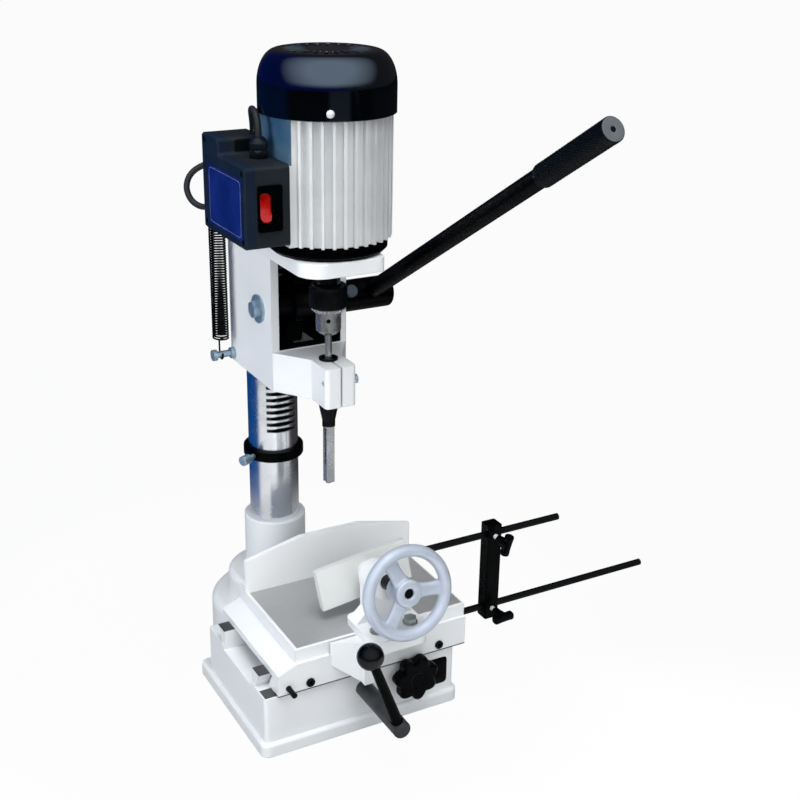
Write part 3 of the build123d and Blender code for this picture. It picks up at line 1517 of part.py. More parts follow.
def wing_knob(z, angle):
    """A wing knob on the bar's front face with its screw through to the rod."""
    face = stop_y - bar_side / 2 - side_gap
    tip = stop_y - stop_rod_radius - side_gap
    wing_y = face - wing_stem
    body = rod_y(wing_screw_radius, face - 1, tip, bar_x, z)
    body += rod_y(wing_stem_radius, wing_y - wing_thickness, face, bar_x, z)
    side = wing_stem_radius
    outline = [(-wing_half_span, -wing_tip), (-side, -wing_waist), (side, -wing_waist),
               (wing_half_span, -wing_tip), (wing_half_span, wing_tip), (side, wing_waist),
               (-side, wing_waist), (-wing_half_span, wing_tip)]
    wings = prism_y(outline, wing_y - wing_thickness, wing_y)
    wings = fillet(wings.edges().filter_by(Axis.Y), wing_round)
    return body + Pos(bar_x, 0, z) * Rot(0, -angle, 0) * wings


def upper_wing_knob():
    return wing_knob(stop_z, upper_wing_angle)


def lower_wing_knob():
    return wing_knob(guide_z, lower_wing_angle)


pieces = [
    base_casting, column, spring_bracket, depth_collar, collar_screw,
    head_casting, nose_screw, chisel_bush, mortise_chisel, feed_pinion,
    pinion_shaft, shaft_end_bolt, pinion_housing, housing_bolt, lever_hub,
    feed_lever, lever_grip, motor_end_bell, motor_shell, stator_core,
    motor_bearings, motor_rotor, cooling_fan, fan_cover, fan_cover_screws,
    motor_bolts, chuck_body, chuck_sleeve, auger_bit, control_box,
    box_cover, box_cover_screws, blank_plate, switch_bezel, switch_rocker,
    cable_glands, motor_lead, return_spring, spring_stud, table_casting,
    gib_strip, gib_screws, lock_stud, table_rack, fence,
    fence_bolts, vise_body, vise_bolts, vise_jaw, vise_screw,
    handwheel, crank_shaft, crank_arm, crank_ball, star_knob,
    stop_guide_rod, stop_rod, stop_bar, upper_wing_knob, lower_wing_knob,
]

os.makedirs("parts", exist_ok=True)
for piece in pieces:
    export_step(piece(), f"parts/{piece.__name__}.step")
print("pieces written", len(pieces))
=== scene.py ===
# %% [markdown]
# A bench mortising machine: a white cast base carries a steel column, a head with a
# motor slides on the column, and a hollow square chisel with an auger inside it cuts
# square holes in wood that the table's vise holds.
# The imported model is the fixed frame. This lesson dresses it: first the camera, then the
# finishes, the lead, the shapes that a plain solid can't show, and last the light.

# %% The frame
import math

import bpy
import numpy as np
from mathutils import Matrix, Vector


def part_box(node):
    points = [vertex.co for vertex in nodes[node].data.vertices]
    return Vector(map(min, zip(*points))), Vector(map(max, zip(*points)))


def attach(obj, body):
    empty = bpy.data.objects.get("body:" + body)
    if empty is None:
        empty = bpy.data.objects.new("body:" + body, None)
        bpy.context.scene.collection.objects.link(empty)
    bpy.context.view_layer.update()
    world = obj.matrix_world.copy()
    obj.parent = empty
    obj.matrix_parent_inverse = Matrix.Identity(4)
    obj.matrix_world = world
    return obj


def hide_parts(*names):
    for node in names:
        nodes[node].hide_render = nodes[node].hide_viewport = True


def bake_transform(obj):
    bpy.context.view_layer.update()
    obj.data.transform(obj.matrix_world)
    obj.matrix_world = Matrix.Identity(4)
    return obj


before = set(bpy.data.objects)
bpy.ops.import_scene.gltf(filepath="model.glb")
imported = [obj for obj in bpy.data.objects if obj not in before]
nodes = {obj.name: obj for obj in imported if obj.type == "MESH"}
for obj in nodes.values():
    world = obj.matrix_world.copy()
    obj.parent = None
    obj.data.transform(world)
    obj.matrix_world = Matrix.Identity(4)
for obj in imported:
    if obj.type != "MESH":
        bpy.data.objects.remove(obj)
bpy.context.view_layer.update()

MM = 0.001
print("nodes in the frame", len(nodes))

# %% [markdown]
# The camera stands to the left of the machine's front and a little above it. It could be
# aimed with a Track To constraint, but a camera that is slightly tilted needs its three
# axes written down, so they are worked out from the heading, the slope and the tilt.

# %% Camera
CAMERA_SPOT = np.array((-0.5706, -1.2529, 0.9003))
CAMERA_HEADING = math.radians(29.29)
CAMERA_SLOPE = math.radians(22.01)
CAMERA_TILT = math.radians(1.03)
CAMERA_LENS = 58.1


def camera_axes():
    """Right, up and back: the view's direction from heading and slope, then turned by the tilt."""
    ahead = np.array((math.sin(CAMERA_HEADING) * math.cos(CAMERA_SLOPE),
                      math.cos(CAMERA_HEADING) * math.cos(CAMERA_SLOPE),
                      -math.sin(CAMERA_SLOPE)))
    right = np.array((math.cos(CAMERA_HEADING), -math.sin(CAMERA_HEADING), 0.0))
    up = np.cross(right, ahead)
    turned_right = right * math.cos(CAMERA_TILT) + up * math.sin(CAMERA_TILT)
    turned_up = up * math.cos(CAMERA_TILT) - right * math.sin(CAMERA_TILT)
    return turned_right, turned_up, -ahead


def stand(made, axes, spot):
    """Puts a camera or a lamp into the scene at a spot, by its right, up and back directions."""
    place = np.eye(4)
    place[:3, :3] = np.stack(axes, axis=1)
    place[:3, 3] = spot
    made.matrix_world = Matrix(place.tolist())
    bpy.context.scene.collection.objects.link(made)


camera = bpy.data.objects.new("camera", bpy.data.cameras.new("camera"))
camera.data.lens = CAMERA_LENS
camera.data.sensor_width = 36.0
camera.data.clip_end = 50.0
stand(camera, camera_axes(), CAMERA_SPOT)
bpy.context.scene.camera = camera
print("camera lens", camera.data.lens)

# %% [markdown]
# Finishes are node materials. A helper places a node and fills its sockets, either with a
# plain value or with a link, so that a material reads from top to bottom.

# %% Node helper


def add(tree, kind, settings=None, **inputs):
    """One node of a kind. An input named i0 is found by its number, others by their name."""
    made = tree.nodes.new(kind)
    for key, value in (settings or {}).items():
        setattr(made, key, value)
    for key, value in inputs.items():
        number = key[0] == "i" and key[1:].isdigit()
        socket = made.inputs[int(key[1:]) if number else key.replace("_", " ")]
        if isinstance(value, bpy.types.NodeSocket):
            tree.links.new(value, socket)
        else:
            socket.default_value = value
    return made


def maths(tree, operation, first, second=0.0):
    """The value of one sum of two numbers."""
    return add(tree, "ShaderNodeMath", {"operation": operation}, i0=first, i1=second).outputs[0]


def vectors(tree, operation, first, second=(0.0, 0.0, 0.0)):
    """The outputs of one sum of two vectors, called Vector and Value."""
    return add(tree, "ShaderNodeVectorMath", {"operation": operation}, i0=first, i1=second).outputs


def ranged(tree, value, low, high, new_low=0.0, new_high=1.0):
    """A value stretched from one range to another and held inside it."""
    return add(tree, "ShaderNodeMapRange", Value=value, From_Min=low, From_Max=high,
               To_Min=new_low, To_Max=new_high).outputs[0]


def mixed(tree, share, first, second):
    """A colour between two colours."""
    node = add(tree, "ShaderNodeMix", {"data_type": "RGBA"}, i0=share, i6=first, i7=second)
    return node.outputs[2]


def noise(tree, place, scale, detail=3.0, rough=0.5):
    """A soft cloud pattern between 0 and 1."""
    return add(tree, "ShaderNodeTexNoise", Vector=place, Scale=scale, Detail=detail,
               Roughness=rough).outputs[0]


def group(name, takes, gives):
    """An empty shader group with named sockets, and its inner ends."""
    tree = bpy.data.node_groups.new(name, "ShaderNodeTree")
    for label, kind in takes:
        tree.interface.new_socket(label, in_out="INPUT", socket_type="NodeSocket" + kind)
    for label in gives:
        tree.interface.new_socket(label, in_out="OUTPUT", socket_type="NodeSocketFloat")
    return tree, tree.nodes.new("NodeGroupInput").outputs, tree.nodes.new("NodeGroupOutput").inputs


print("node helper ready")

# %% [markdown]
# Four effects are shared by most finishes, so each is a node group.
# Uneven coat: paint and plastic are never one tone. A wide cloud tints them, fine ripples
# are the skin of sprayed paint, and smudges change the gloss where hands touch it.

# %% Uneven coat
uneven, enter, leave = group(
    "uneven coat",
    (("Vector", "Vector"), ("Cloud Scale", "Float"), ("Ripple Scale", "Float")),
    ("Cloud", "Ripple", "Smudge"))
cloud = noise(uneven, enter["Vector"], enter["Cloud Scale"], 4.0, 0.55)
uneven.links.new(ranged(uneven, cloud, 0.3, 0.7), leave["Cloud"])
uneven.links.new(noise(uneven, enter["Vector"], enter["Ripple Scale"], 2.0), leave["Ripple"])
smudge = noise(uneven, enter["Vector"], 38.0, 6.0, 0.62)
uneven.links.new(ranged(uneven, smudge, 0.42, 0.68), leave["Smudge"])
print("group", uneven.name)

# %% [markdown]
# Tool lines: a ground, turned or planed face keeps fine parallel lines. Noise that is
# squeezed along one or two directions draws them, and the squeeze is the group's input,
# so the same group serves the column, the rods and the table.

# %% Tool lines
lined, enter, leave = group("tool lines", (("Vector", "Vector"), ("Squeeze", "Vector")), ("Lines",))
squeezed = vectors(lined, "MULTIPLY", enter["Vector"], enter["Squeeze"])["Vector"]
lined.links.new(ranged(lined, noise(lined, squeezed, 1.0, 5.0, 0.7), 0.25, 0.75), leave["Lines"])
print("group", lined.name)

# %% [markdown]
# Edge rub: corners of a casting or a moulding lose a little of their coat. The Bevel node
# gives the normal that a rounded edge would have. Where that differs from the flat face's
# own normal there is an edge, and a noise breaks the line up.

# %% Edge rub
rubbed, enter, leave = group("edge rub", (("Vector", "Vector"), ("Radius", "Float")), ("Edge",))
rounded = add(rubbed, "ShaderNodeBevel", {"samples": 4}, Radius=enter["Radius"]).outputs[0]
flat = rubbed.nodes.new("ShaderNodeNewGeometry").outputs["Normal"]
same = vectors(rubbed, "DOT_PRODUCT", rounded, flat)["Value"]
turned_away = ranged(rubbed, same, 0.98, 0.80)
broken = ranged(rubbed, noise(rubbed, enter["Vector"], 160.0, 5.0, 0.65), 0.40, 0.62)
rubbed.links.new(maths(rubbed, "MULTIPLY", turned_away, broken), leave["Edge"])
print("group", rubbed.name)

# %% [markdown]
# Boxed area: castings are painted all over and then planed where something slides or lies,
# and some faces carry painted shade and painted reflections. Such a place is a box in the machine's own
# frame.
# The least distance to the box's six sides is positive only inside it.

# %% Boxed area
EDGE_BLUR = 0.0004
boxed, enter, leave = group(
    "boxed area", (("Vector", "Vector"), ("Low", "Vector"), ("High", "Vector")), ("Inside",))
least = None
for first, second in (("Vector", "Low"), ("High", "Vector")):
    gap = vectors(boxed, "SUBTRACT", enter[first], enter[second])["Vector"]
    for part in add(boxed, "ShaderNodeSeparateXYZ", Vector=gap).outputs:
        least = part if least is None else maths(boxed, "MINIMUM", least, part)
boxed.links.new(ranged(boxed, least, 0.0, EDGE_BLUR), leave["Inside"])
print("group", boxed.name)

# %% [markdown]
# A finish is put together from these groups. The first helpers set a group into a material
# and name its colours. The last lays a planed metal face over a coat.

# %% Finish helper
BUMP_DISTANCE = 0.001
SCORE_DEPTH = 0.00002
BARE_ROUGH = (0.42, 0.54)
PLANED = (60.0, 900.0, 60.0)


def placed_group(tree, made, **inputs):
    """A shared group set into a material."""
    return add(tree, "ShaderNodeGroup", {"node_tree": made}, **inputs).outputs


def within(tree, place, low, high):
    """1 inside the box between two corners and 0 outside it."""
    return placed_group(tree, boxed, Vector=place, Low=low, High=high)["Inside"]


def rgb(red, green, blue):
    """A solid colour."""
    return (red, green, blue, 1.0)


def grey(value, blue=0.0):
    """A colour by its lightness, with a little blue."""
    return rgb(value * (1 - blue), value, value * (1 + blue))


def planed_over(tree, place, inside, tones, colour, roughness, height):
    """The coat's colour, roughness and height, with those of planed metal where inside is 1."""
    marks = placed_group(tree, lined, Vector=place, Squeeze=PLANED)["Lines"]
    metal = mixed(tree, marks, grey(tones[0], 0.01), grey(tones[1], 0.01))
    change = maths(tree, "SUBTRACT", ranged(tree, marks, 0.0, 1.0, *BARE_ROUGH), roughness)
    scored = maths(tree, "MULTIPLY", marks, inside)
    return (mixed(tree, inside, colour, metal),
            maths(tree, "ADD", roughness, maths(tree, "MULTIPLY", change, inside)),
            maths(tree, "ADD", height, maths(tree, "MULTIPLY", scored, SCORE_DEPTH / BUMP_DISTANCE)))


print("finish helper ready")

# %% [markdown]
# One function builds every finish. Base colour goes between a dark and a light tone,
# roughness between two values with the smudges, tool lines and ripples make the bump, and
# rubbed edges show what lies under the coat.

# %% Finish recipe
RUB_RADIUS = 0.0010


def finish(name, dark, light, rough, metallic=0.0, cloud=25.0, ripple=900.0, depth=0.00004,
           lines=None, line_depth=0.00002, rub=None, rub_share=0.6, soft_edge=0.0008, shine=0.5,
           ior=1.5, painted_light_areas=(), bare=(), bare_tone=(0.5, 0.6), bare_metal=0.6):
    """A material. painted_light_areas lists (low corner, high corner, dark tone, light tone) of
    boxes that carry painted shade and painted reflections, and bare lists (low corner, high
    corner) of planed ones, in metres."""
    material = bpy.data.materials.new(name)
    material.use_nodes = True
    tree = material.node_tree
    shader = tree.nodes["Principled BSDF"]
    place = tree.nodes.new("ShaderNodeTexCoord").outputs["Object"]
    coated = placed_group(tree, uneven, Vector=place, Cloud_Scale=cloud, Ripple_Scale=ripple)
    colour = mixed(tree, coated["Cloud"], dark, light)
    roughness = ranged(tree, coated["Smudge"], 0.0, 1.0, *rough)
    height = maths(tree, "MULTIPLY", coated["Ripple"], depth / BUMP_DISTANCE)
    if lines:
        marks = placed_group(tree, lined, Vector=place, Squeeze=lines)["Lines"]
        colour = mixed(tree, marks, colour, mixed(tree, 0.5, colour, dark))
        groove = maths(tree, "MULTIPLY", marks, line_depth / BUMP_DISTANCE)
        height = maths(tree, "ADD", height, groove)
    if rub:
        edge = placed_group(tree, rubbed, Vector=place, Radius=RUB_RADIUS)["Edge"]
        colour = mixed(tree, maths(tree, "MULTIPLY", edge, rub_share), colour, rub)
    # Boxes of painted shade and painted reflection replace the colour there.
    for low, high, deep, pale in painted_light_areas:
        tone = mixed(tree, coated["Cloud"], deep, pale)
        colour = mixed(tree, within(tree, place, low, high), colour, tone)
    shader.inputs["Metallic"].default_value = metallic
    if bare:
        inside = within(tree, place, *bare[0])
        for low, high in bare[1:]:
            inside = maths(tree, "MAXIMUM", inside, within(tree, place, low, high))
        colour, roughness, height = planed_over(tree, place, inside, bare_tone, colour, roughness, height)
        tree.links.new(maths(tree, "MULTIPLY", inside, bare_metal), shader.inputs["Metallic"])
    tree.links.new(colour, shader.inputs["Base Color"])
    tree.links.new(roughness, shader.inputs["Roughness"])
    bump = add(tree, "ShaderNodeBump", Height=height, Strength=1.0, Distance=BUMP_DISTANCE)
    if soft_edge:
        rounded = add(tree, "ShaderNodeBevel", {"samples": 4}, Radius=soft_edge).outputs[0]
        tree.links.new(rounded, bump.inputs["Normal"])
    tree.links.new(bump.outputs[0], shader.inputs["Normal"])
    shader.inputs["Specular IOR Level"].default_value = shine
    shader.inputs["IOR"].default_value = ior
    return material


print("finish recipe ready")

# %% [markdown]
# Enamel and metal. The castings are white enamel, slightly cool, over grey iron. The column
# is ground steel and the motor is a drawn aluminium shell, whose flat pad beside the
# control box carries a painted blue reflection. The chuck's top carries painted shade.

# %% Enamel and metal
ROUND_Z = (12.0, 12.0, 2600.0)
TOOL_LINES = (300.0, 300.0, 60.0)
# Near-black tones that stand for painted shade in the boxed places below.
PAINTED_SHADE_TONES = (grey(0.0015, 0.3), grey(0.004, 0.3))
# Painted shade on the chuck's body above its sleeve, under the motor.
CHUCK_TOP_PAINTED_SHADE = (((-0.030, -0.107, 0.5025), (0.030, -0.046, 0.5500), *PAINTED_SHADE_TONES),)
# A painted blue reflection on the motor shell's flat pad beside the control box.
PAD_PAINTED_BLUE_REFLECTION = (((-0.0720, -0.1160, 0.6400), (-0.0570, -0.0370, 0.6850),
             rgb(0.018, 0.085, 0.19), rgb(0.075, 0.135, 0.20)),)
white = {"dark": rgb(0.74, 0.765, 0.785), "light": rgb(0.80, 0.82, 0.835), "rough": (0.30, 0.44),
         "cloud": 9.0, "ripple": 420.0, "depth": 0.00005, "rub": grey(0.62, 0.03),
         "rub_share": 0.35, "soft_edge": 0.0014}
finishes = {
    "white_paint": finish("white enamel", **white),
    "column_steel": finish("ground steel", grey(0.88, 0.03), grey(0.95, 0.03), (0.20, 0.30), 1.0,
                           lines=ROUND_Z, depth=0.0, line_depth=0.000012),
    "machined_steel": finish("machined steel", grey(0.36, 0.03), grey(0.52, 0.03), (0.26, 0.40),
                             0.9, lines=(900.0, 60.0, 60.0), depth=0.0),
    "tool_steel": finish("tool steel", grey(0.42, 0.02), grey(0.58, 0.02), (0.20, 0.36), 0.9,
                         lines=TOOL_LINES, depth=0.0),
    # The dull chrome carries painted shade on the chuck's top.
    "chuck_chrome": finish("dull chrome", grey(0.40, 0.02), grey(0.56, 0.02), (0.20, 0.34), 0.9,
                           lines=ROUND_Z, depth=0.0, painted_light_areas=CHUCK_TOP_PAINTED_SHADE),
    "zinc_plate": finish("bright zinc", rgb(0.26, 0.40, 0.52), rgb(0.48, 0.60, 0.68), (0.30, 0.46),
                         0.7, cloud=120.0, depth=0.00002),
    "silver_paint": finish("silver hammer paint", rgb(0.45, 0.505, 0.60), rgb(0.55, 0.605, 0.70),
                           (0.32, 0.46), 0.3, cloud=40.0, ripple=520.0, depth=0.00006,
                           soft_edge=0.0),
    # The drawn aluminium carries a painted blue reflection on its pad.
    "motor_aluminium": finish("drawn aluminium", rgb(0.62, 0.64, 0.65), rgb(0.74, 0.75, 0.755),
                              (0.36, 0.50), 0.2, lines=(700.0, 700.0, 14.0), depth=0.0,
                              painted_light_areas=PAD_PAINTED_BLUE_REFLECTION),
    "core_iron": finish("core iron", grey(0.10), grey(0.16), (0.45, 0.60), 0.8, lines=ROUND_Z),
}
print("finishes", len(finishes))

# %% [markdown]
# Black coats, plastics and rubber. The handles are black enamel, moulded plastic or rubber,
# the control box is slate plastic with painted shade on its step, a navy plate and a red switch.
# Blacks differ mostly in their gloss: their colours are close together, their shine is not.

# %% Black coats, plastics and rubber
# Painted shade on the front face of the control box's step.
STEP_PAINTED_SHADE = (((-0.0900, -0.0506, 0.6425), (-0.0595, -0.0490, 0.6570), *PAINTED_SHADE_TONES),)
finishes.update({
    "black_paint": finish("black enamel", grey(0.0003, 0.3), grey(0.0008, 0.4), (0.26, 0.40),
                          rub=grey(0.003, 0.2), ripple=500.0, shine=0.04),
    "black_oxide": finish("blued steel", grey(0.001, 0.3), grey(0.003, 0.3), (0.30, 0.46),
                          rub=grey(0.015, 0.05), cloud=60.0, shine=0.12),
    "gloss_black": finish("gloss black", grey(0.0006, 0.4), grey(0.0012, 0.5), (0.22, 0.30),
                          ripple=300.0, depth=0.00002, shine=0.24, soft_edge=0.0),
    "box_plastic": finish("slate plastic", rgb(0.007, 0.010, 0.013), rgb(0.013, 0.017, 0.021),
                          (0.42, 0.58), ripple=1500.0, depth=0.00005, rub=grey(0.04, 0.05),
                          shine=0.16, painted_light_areas=STEP_PAINTED_SHADE),
    "label_navy": finish("navy plate", rgb(0.003, 0.010, 0.092), rgb(0.007, 0.021, 0.148),
                         (0.30, 0.42), ripple=2000.0, depth=0.000015, shine=0.05),
    "switch_red": finish("red rocker", rgb(0.26, 0.003, 0.002), rgb(0.44, 0.006, 0.004),
                         (0.12, 0.22), cloud=160.0, depth=0.00001, soft_edge=0.0),
    "knob_plastic": finish("black plastic", grey(0.0004, 0.4), grey(0.001, 0.5), (0.24, 0.38),
                           ripple=1200.0, shine=0.06, soft_edge=0.0),
    "fan_plastic": finish("fan plastic", grey(0.012), grey(0.02), (0.40, 0.55), shine=0.3),
    "grip_rubber": finish("rubber grip", grey(0.0015, 0.4), grey(0.003, 0.6), (0.34, 0.48),
                          ripple=1600.0, shine=0.10, soft_edge=0.0),
    "lead_rubber": finish("lead rubber", grey(0.008, 0.1), grey(0.016, 0.1), (0.34, 0.48),
                          ripple=1400.0, soft_edge=0.0),
})
print("finishes", len(finishes))

# %% [markdown]
# Some pieces have a finish of their own. The base's ways and the table's top are planed
# bare, with a painted shadow along the seam under the table's apron. Shade is painted inside
# the head's window and on the chisel's neck, and the rotor's shaft is painted black as shade.
# A few fittings are duller than the rest, the fence's white is lighter as painted light, and
# the jaw's white is warmer in tone and darker as painted shade.

# %% Finishes of single pieces
WAYS_BARE = (((-0.119, -0.1435, 0.0915), (0.119, -0.1235, 0.0925)),
             ((-0.119, -0.0425, 0.0915), (0.119, -0.0225, 0.0925)),
             ((-0.1185, -0.1605, 0.0725), (0.1185, -0.143, 0.0735)))
TABLE_BARE = (((-0.0795, -0.1585, 0.1245), (0.130, -0.006, 0.1255)),)
# A painted shadow along the seam under the table's apron.
APRON_SEAM_PAINTED_SHADOW = (((-0.1200, -0.1680, 0.0730), (0.1400, -0.1540, 0.0756), *PAINTED_SHADE_TONES),)
# Painted shade on the faces inside the head's window.
WINDOW_PAINTED_SHADE = (((-0.0385, -0.0322, 0.4195), (0.0370, 0.070, 0.5195), *PAINTED_SHADE_TONES),)
# Painted shade on the chisel's neck below the nose.
NECK_PAINTED_SHADE = (((-0.015, -0.095, 0.3415), (0.015, -0.060, 0.3735), *PAINTED_SHADE_TONES),)
# A lighter copy of the white enamel: painted light on the fence, which the head shades from above.
white_with_painted_light = {**white, "dark": rgb(0.88, 0.90, 0.91), "light": rgb(0.92, 0.93, 0.94)}
# A warmer and darker copy of the white enamel: the jaw's own warm tone, darkened as painted shade.
warmer_white_with_painted_shade = {**white, "dark": rgb(0.66, 0.675, 0.67), "light": rgb(0.72, 0.735, 0.725)}
own_finishes = {
    "base_casting": finish("base enamel, planed ways", **white, bare=WAYS_BARE, bare_tone=(0.08, 0.13)),
    "table_casting": finish("table enamel, planed top", **white, bare=TABLE_BARE,
                            bare_tone=(0.38, 0.45), bare_metal=0.4, painted_light_areas=APRON_SEAM_PAINTED_SHADOW),
    "head_casting": finish("head enamel, painted shade inside", **white, painted_light_areas=WINDOW_PAINTED_SHADE),
    "mortise_chisel": finish("chisel steel, painted shade on neck", grey(0.42, 0.02), grey(0.58, 0.02),
                             (0.22, 0.36), 0.8, lines=TOOL_LINES, depth=0.0, painted_light_areas=NECK_PAINTED_SHADE),
    "housing_bolt": finish("dull zinc", rgb(0.05, 0.065, 0.09), rgb(0.09, 0.11, 0.14), (0.45, 0.6), 0.3),
    "vise_bolts": finish("oiled steel", rgb(0.20, 0.23, 0.22), rgb(0.32, 0.36, 0.35), (0.3, 0.45), 0.5),
    "box_cover": finish("navy slate plastic", rgb(0.005, 0.010, 0.020), rgb(0.008, 0.015, 0.030),
                        (0.40, 0.55), ripple=1500.0, depth=0.00005, rub=grey(0.04, 0.2), shine=0.12),
    "crank_shaft": finish("worn black steel", grey(0.012, 0.1), grey(0.04, 0.1), (0.36, 0.5), 0.2,
                          cloud=70.0),
    "fence": finish("fence enamel with painted light", **white_with_painted_light),
    "vise_jaw": finish("jaw enamel, warmer, with painted shade", **warmer_white_with_painted_shade),
    "switch_bezel": finishes["black_paint"],
    # The rotor's shaft takes blued steel's black as painted shade, where it shows under the motor.
    "motor_rotor": finishes["black_oxide"],
    "chisel_bush": finishes["black_oxide"],
}
print("pieces with a finish of their own", len(own_finishes))

# %% [markdown]
# Shade is painted between the teeth of the column's rack, where little light gets in. The
# teeth repeat upwards, so the height's fraction of the pitch tells how near a gap is.

# %% Painted shade in the rack's gaps
RACK_LOW, RACK_HIGH = (-0.030, 0.045, 0.284), (0.030, 0.0545, 0.5185)
GAP_MIDDLE = 0.460
RACK_PITCH = 0.0025 * math.pi


def paint_rack_gap_shade(material):
    """Paints shade into the colour where |fraction of (height - first edge) / pitch - 1/2| is small."""
    tree = material.node_tree
    shader = tree.nodes["Principled BSDF"]
    colour = shader.inputs["Base Color"].links[0].from_socket
    place = tree.nodes.new("ShaderNodeTexCoord").outputs["Object"]
    height = add(tree, "ShaderNodeSeparateXYZ", Vector=place).outputs[2]
    above = maths(tree, "SUBTRACT", height, GAP_MIDDLE - RACK_PITCH / 2)
    steps = maths(tree, "DIVIDE", above, RACK_PITCH)
    away = maths(tree, "ABSOLUTE", maths(tree, "SUBTRACT", maths(tree, "FRACT", steps), 0.5))
    rack = within(tree, place, RACK_LOW, RACK_HIGH)
    share = maths(tree, "MULTIPLY", ranged(tree, away, 0.34, 0.20), rack)
    tree.links.new(mixed(tree, share, colour, grey(0.05)), shader.inputs["Base Color"])


paint_rack_gap_shade(finishes["column_steel"])
print("rack pitch", round(RACK_PITCH, 5))

# %% [markdown]
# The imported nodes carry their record's slot as a material. Each keeps its shape and takes
# its own finish, or else the finish of that slot.

# %% Dress the frame
for name, node in nodes.items():
    slot = node.data.materials[0].name.split(".")[0]
    node.material_slots[0].material = own_finishes.get(name, finishes[slot])
print("dressed", sorted({node.material_slots[0].material.name for node in nodes.values()}))

# %% [markdown]
# The motor's lead leaves the gland on top of the control box, dips behind the box, swings
# out to the left and comes back into the gland on the box's rear. A cable could be drawn
# as straight runs with arcs, but rubber bends in one smooth line, so the route's points
# are the control points of a NURBS curve.

# %% Lead
LEAD_RADIUS = 0.0033
LEAD_POINTS = np.array((
    (-74, -74, 660), (-74, -74, 682), (-73, -53, 690), (-63, -34, 669), (-54, -12, 652),
    (-56, 12, 635), (-67, 32, 621), (-84, 45, 615), (-100, 51, 606), (-107.5, 50, 591),
    (-104, 44, 576), (-95, 34, 570), (-87.5, 25, 574), (-84, 13, 581), (-84, -1, 581))) * MM
route = bpy.data.curves.new("lead_route", "CURVE")
route.dimensions = "3D"
spline = route.splines.new("NURBS")
spline.points.add(len(LEAD_POINTS) - 1)
spline.points.foreach_set("co", np.c_[LEAD_POINTS, np.ones(len(LEAD_POINTS))].ravel())
spline.order_u = 3
spline.use_endpoint_u = True
spline.resolution_u = 12
lead = bpy.data.objects.new("motor_lead_cable", route)
bpy.context.scene.collection.objects.link(lead)
drawn = bpy.data.meshes.new_from_object(lead)
bpy.data.meshes.remove(drawn)
route.bevel_depth = LEAD_RADIUS
route.bevel_resolution = 4
route.use_fill_caps = True
route.materials.append(finishes["lead_rubber"])
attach(lead, "head")
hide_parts("motor_lead")

# %% [markdown]
# Turned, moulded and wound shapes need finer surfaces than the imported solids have. Each is
# a grid of points worked out by a formula: rows run along a path, columns run around it.
# The first helpers number the faces of such a grid and close its ends.

# %% Grid helper


def lattice(rows, columns, wrap_rows=False, wrap_columns=False):
    """Corner numbers of the four-sided faces between neighbouring rows and columns of a grid."""
    index = np.arange(rows * columns).reshape(rows, columns)
    if wrap_rows:
        index = np.vstack((index, index[:1]))
    if wrap_columns:
        index = np.hstack((index, index[:, :1]))
    corners = (index[:-1, :-1], index[:-1, 1:], index[1:, 1:], index[1:, :-1])
    return np.stack(corners, -1).reshape(-1, 4)


def closed(grid):
    """A form whose rows are rings, with each end closed to a point in its middle."""
    rows, columns = grid.shape[:2]
    points = np.vstack((grid.reshape(-1, 3), grid[[0, -1]].mean(axis=1)))
    ring = np.arange(columns)
    after = np.roll(ring, -1)
    last = (rows - 1) * columns
    low_point = np.full(columns, rows * columns)
    caps = np.vstack((np.stack((low_point, after, ring), 1),
                      np.stack((low_point + 1, last + ring, last + after), 1)))
    return points, lattice(rows, columns, wrap_columns=True), caps


def looped(grid):
    """A form whose rows are rings and whose last row joins the first, such as a hollow hub."""
    rows, columns = grid.shape[:2]
    return grid.reshape(-1, 3), lattice(rows, columns, True, True), np.empty((0, 3), int)


def joined(*forms):
    """Several forms as one list of points and faces."""
    starts = np.cumsum([0] + [len(form[0]) for form in forms[:-1]])
    return (np.vstack([form[0] for form in forms]),
            np.vstack([form[1] + start for form, start in zip(forms, starts)]),
            np.vstack([form[2] + start for form, start in zip(forms, starts)]))


print("grid helper ready")

# %% [markdown]
# The next helpers make the grids: a line with soft corners, and that line turned round an
# axis. A wave raised to a small power squares a circle off, which gives soft rectangles.

# %% Shape helper
X_AXIS, Y_AXIS, Z_AXIS = np.eye(3)


def unit(ways):
    """Vectors of length one with the same directions."""
    return ways / np.linalg.norm(ways, axis=-1, keepdims=True)


def around(columns):
    """Evenly spaced angles round a circle."""
    return np.arange(columns) * 2 * np.pi / columns


def powered(wave, power):
    """A wave's size raised to a power, with its sign kept."""
    return np.sign(wave) * np.abs(wave) ** power


def soft_rectangle(columns, power):
    """A loop of pairs from -1 to 1: cosine and sine, both raised to a small power."""
    angle = around(columns)
    return np.stack((powered(np.cos(angle), power), powered(np.sin(angle), power)), 1)


def eased(corners, radius, steps=6):
    """A broken line with soft corners: each inner corner p gives way to the curve
    (1-s)(1-s) a + 2s(1-s) p + s s b between the points a and b a radius away from it."""
    points = np.asarray(corners, float)
    corner = points[1:-1]

    def toward(target):
        way = target - corner
        length = np.linalg.norm(way, axis=1, keepdims=True)
        return (corner + way / length * np.minimum(radius, 0.45 * length))[:, None]

    share = np.linspace(0.0, 1.0, steps)[None, :, None]
    curve = ((1 - share) ** 2 * toward(points[:-2]) + 2 * share * (1 - share) * corner[:, None]
             + share ** 2 * toward(points[2:]))
    return np.vstack((points[:1], curve.reshape(-1, points.shape[1]), points[-1:]))


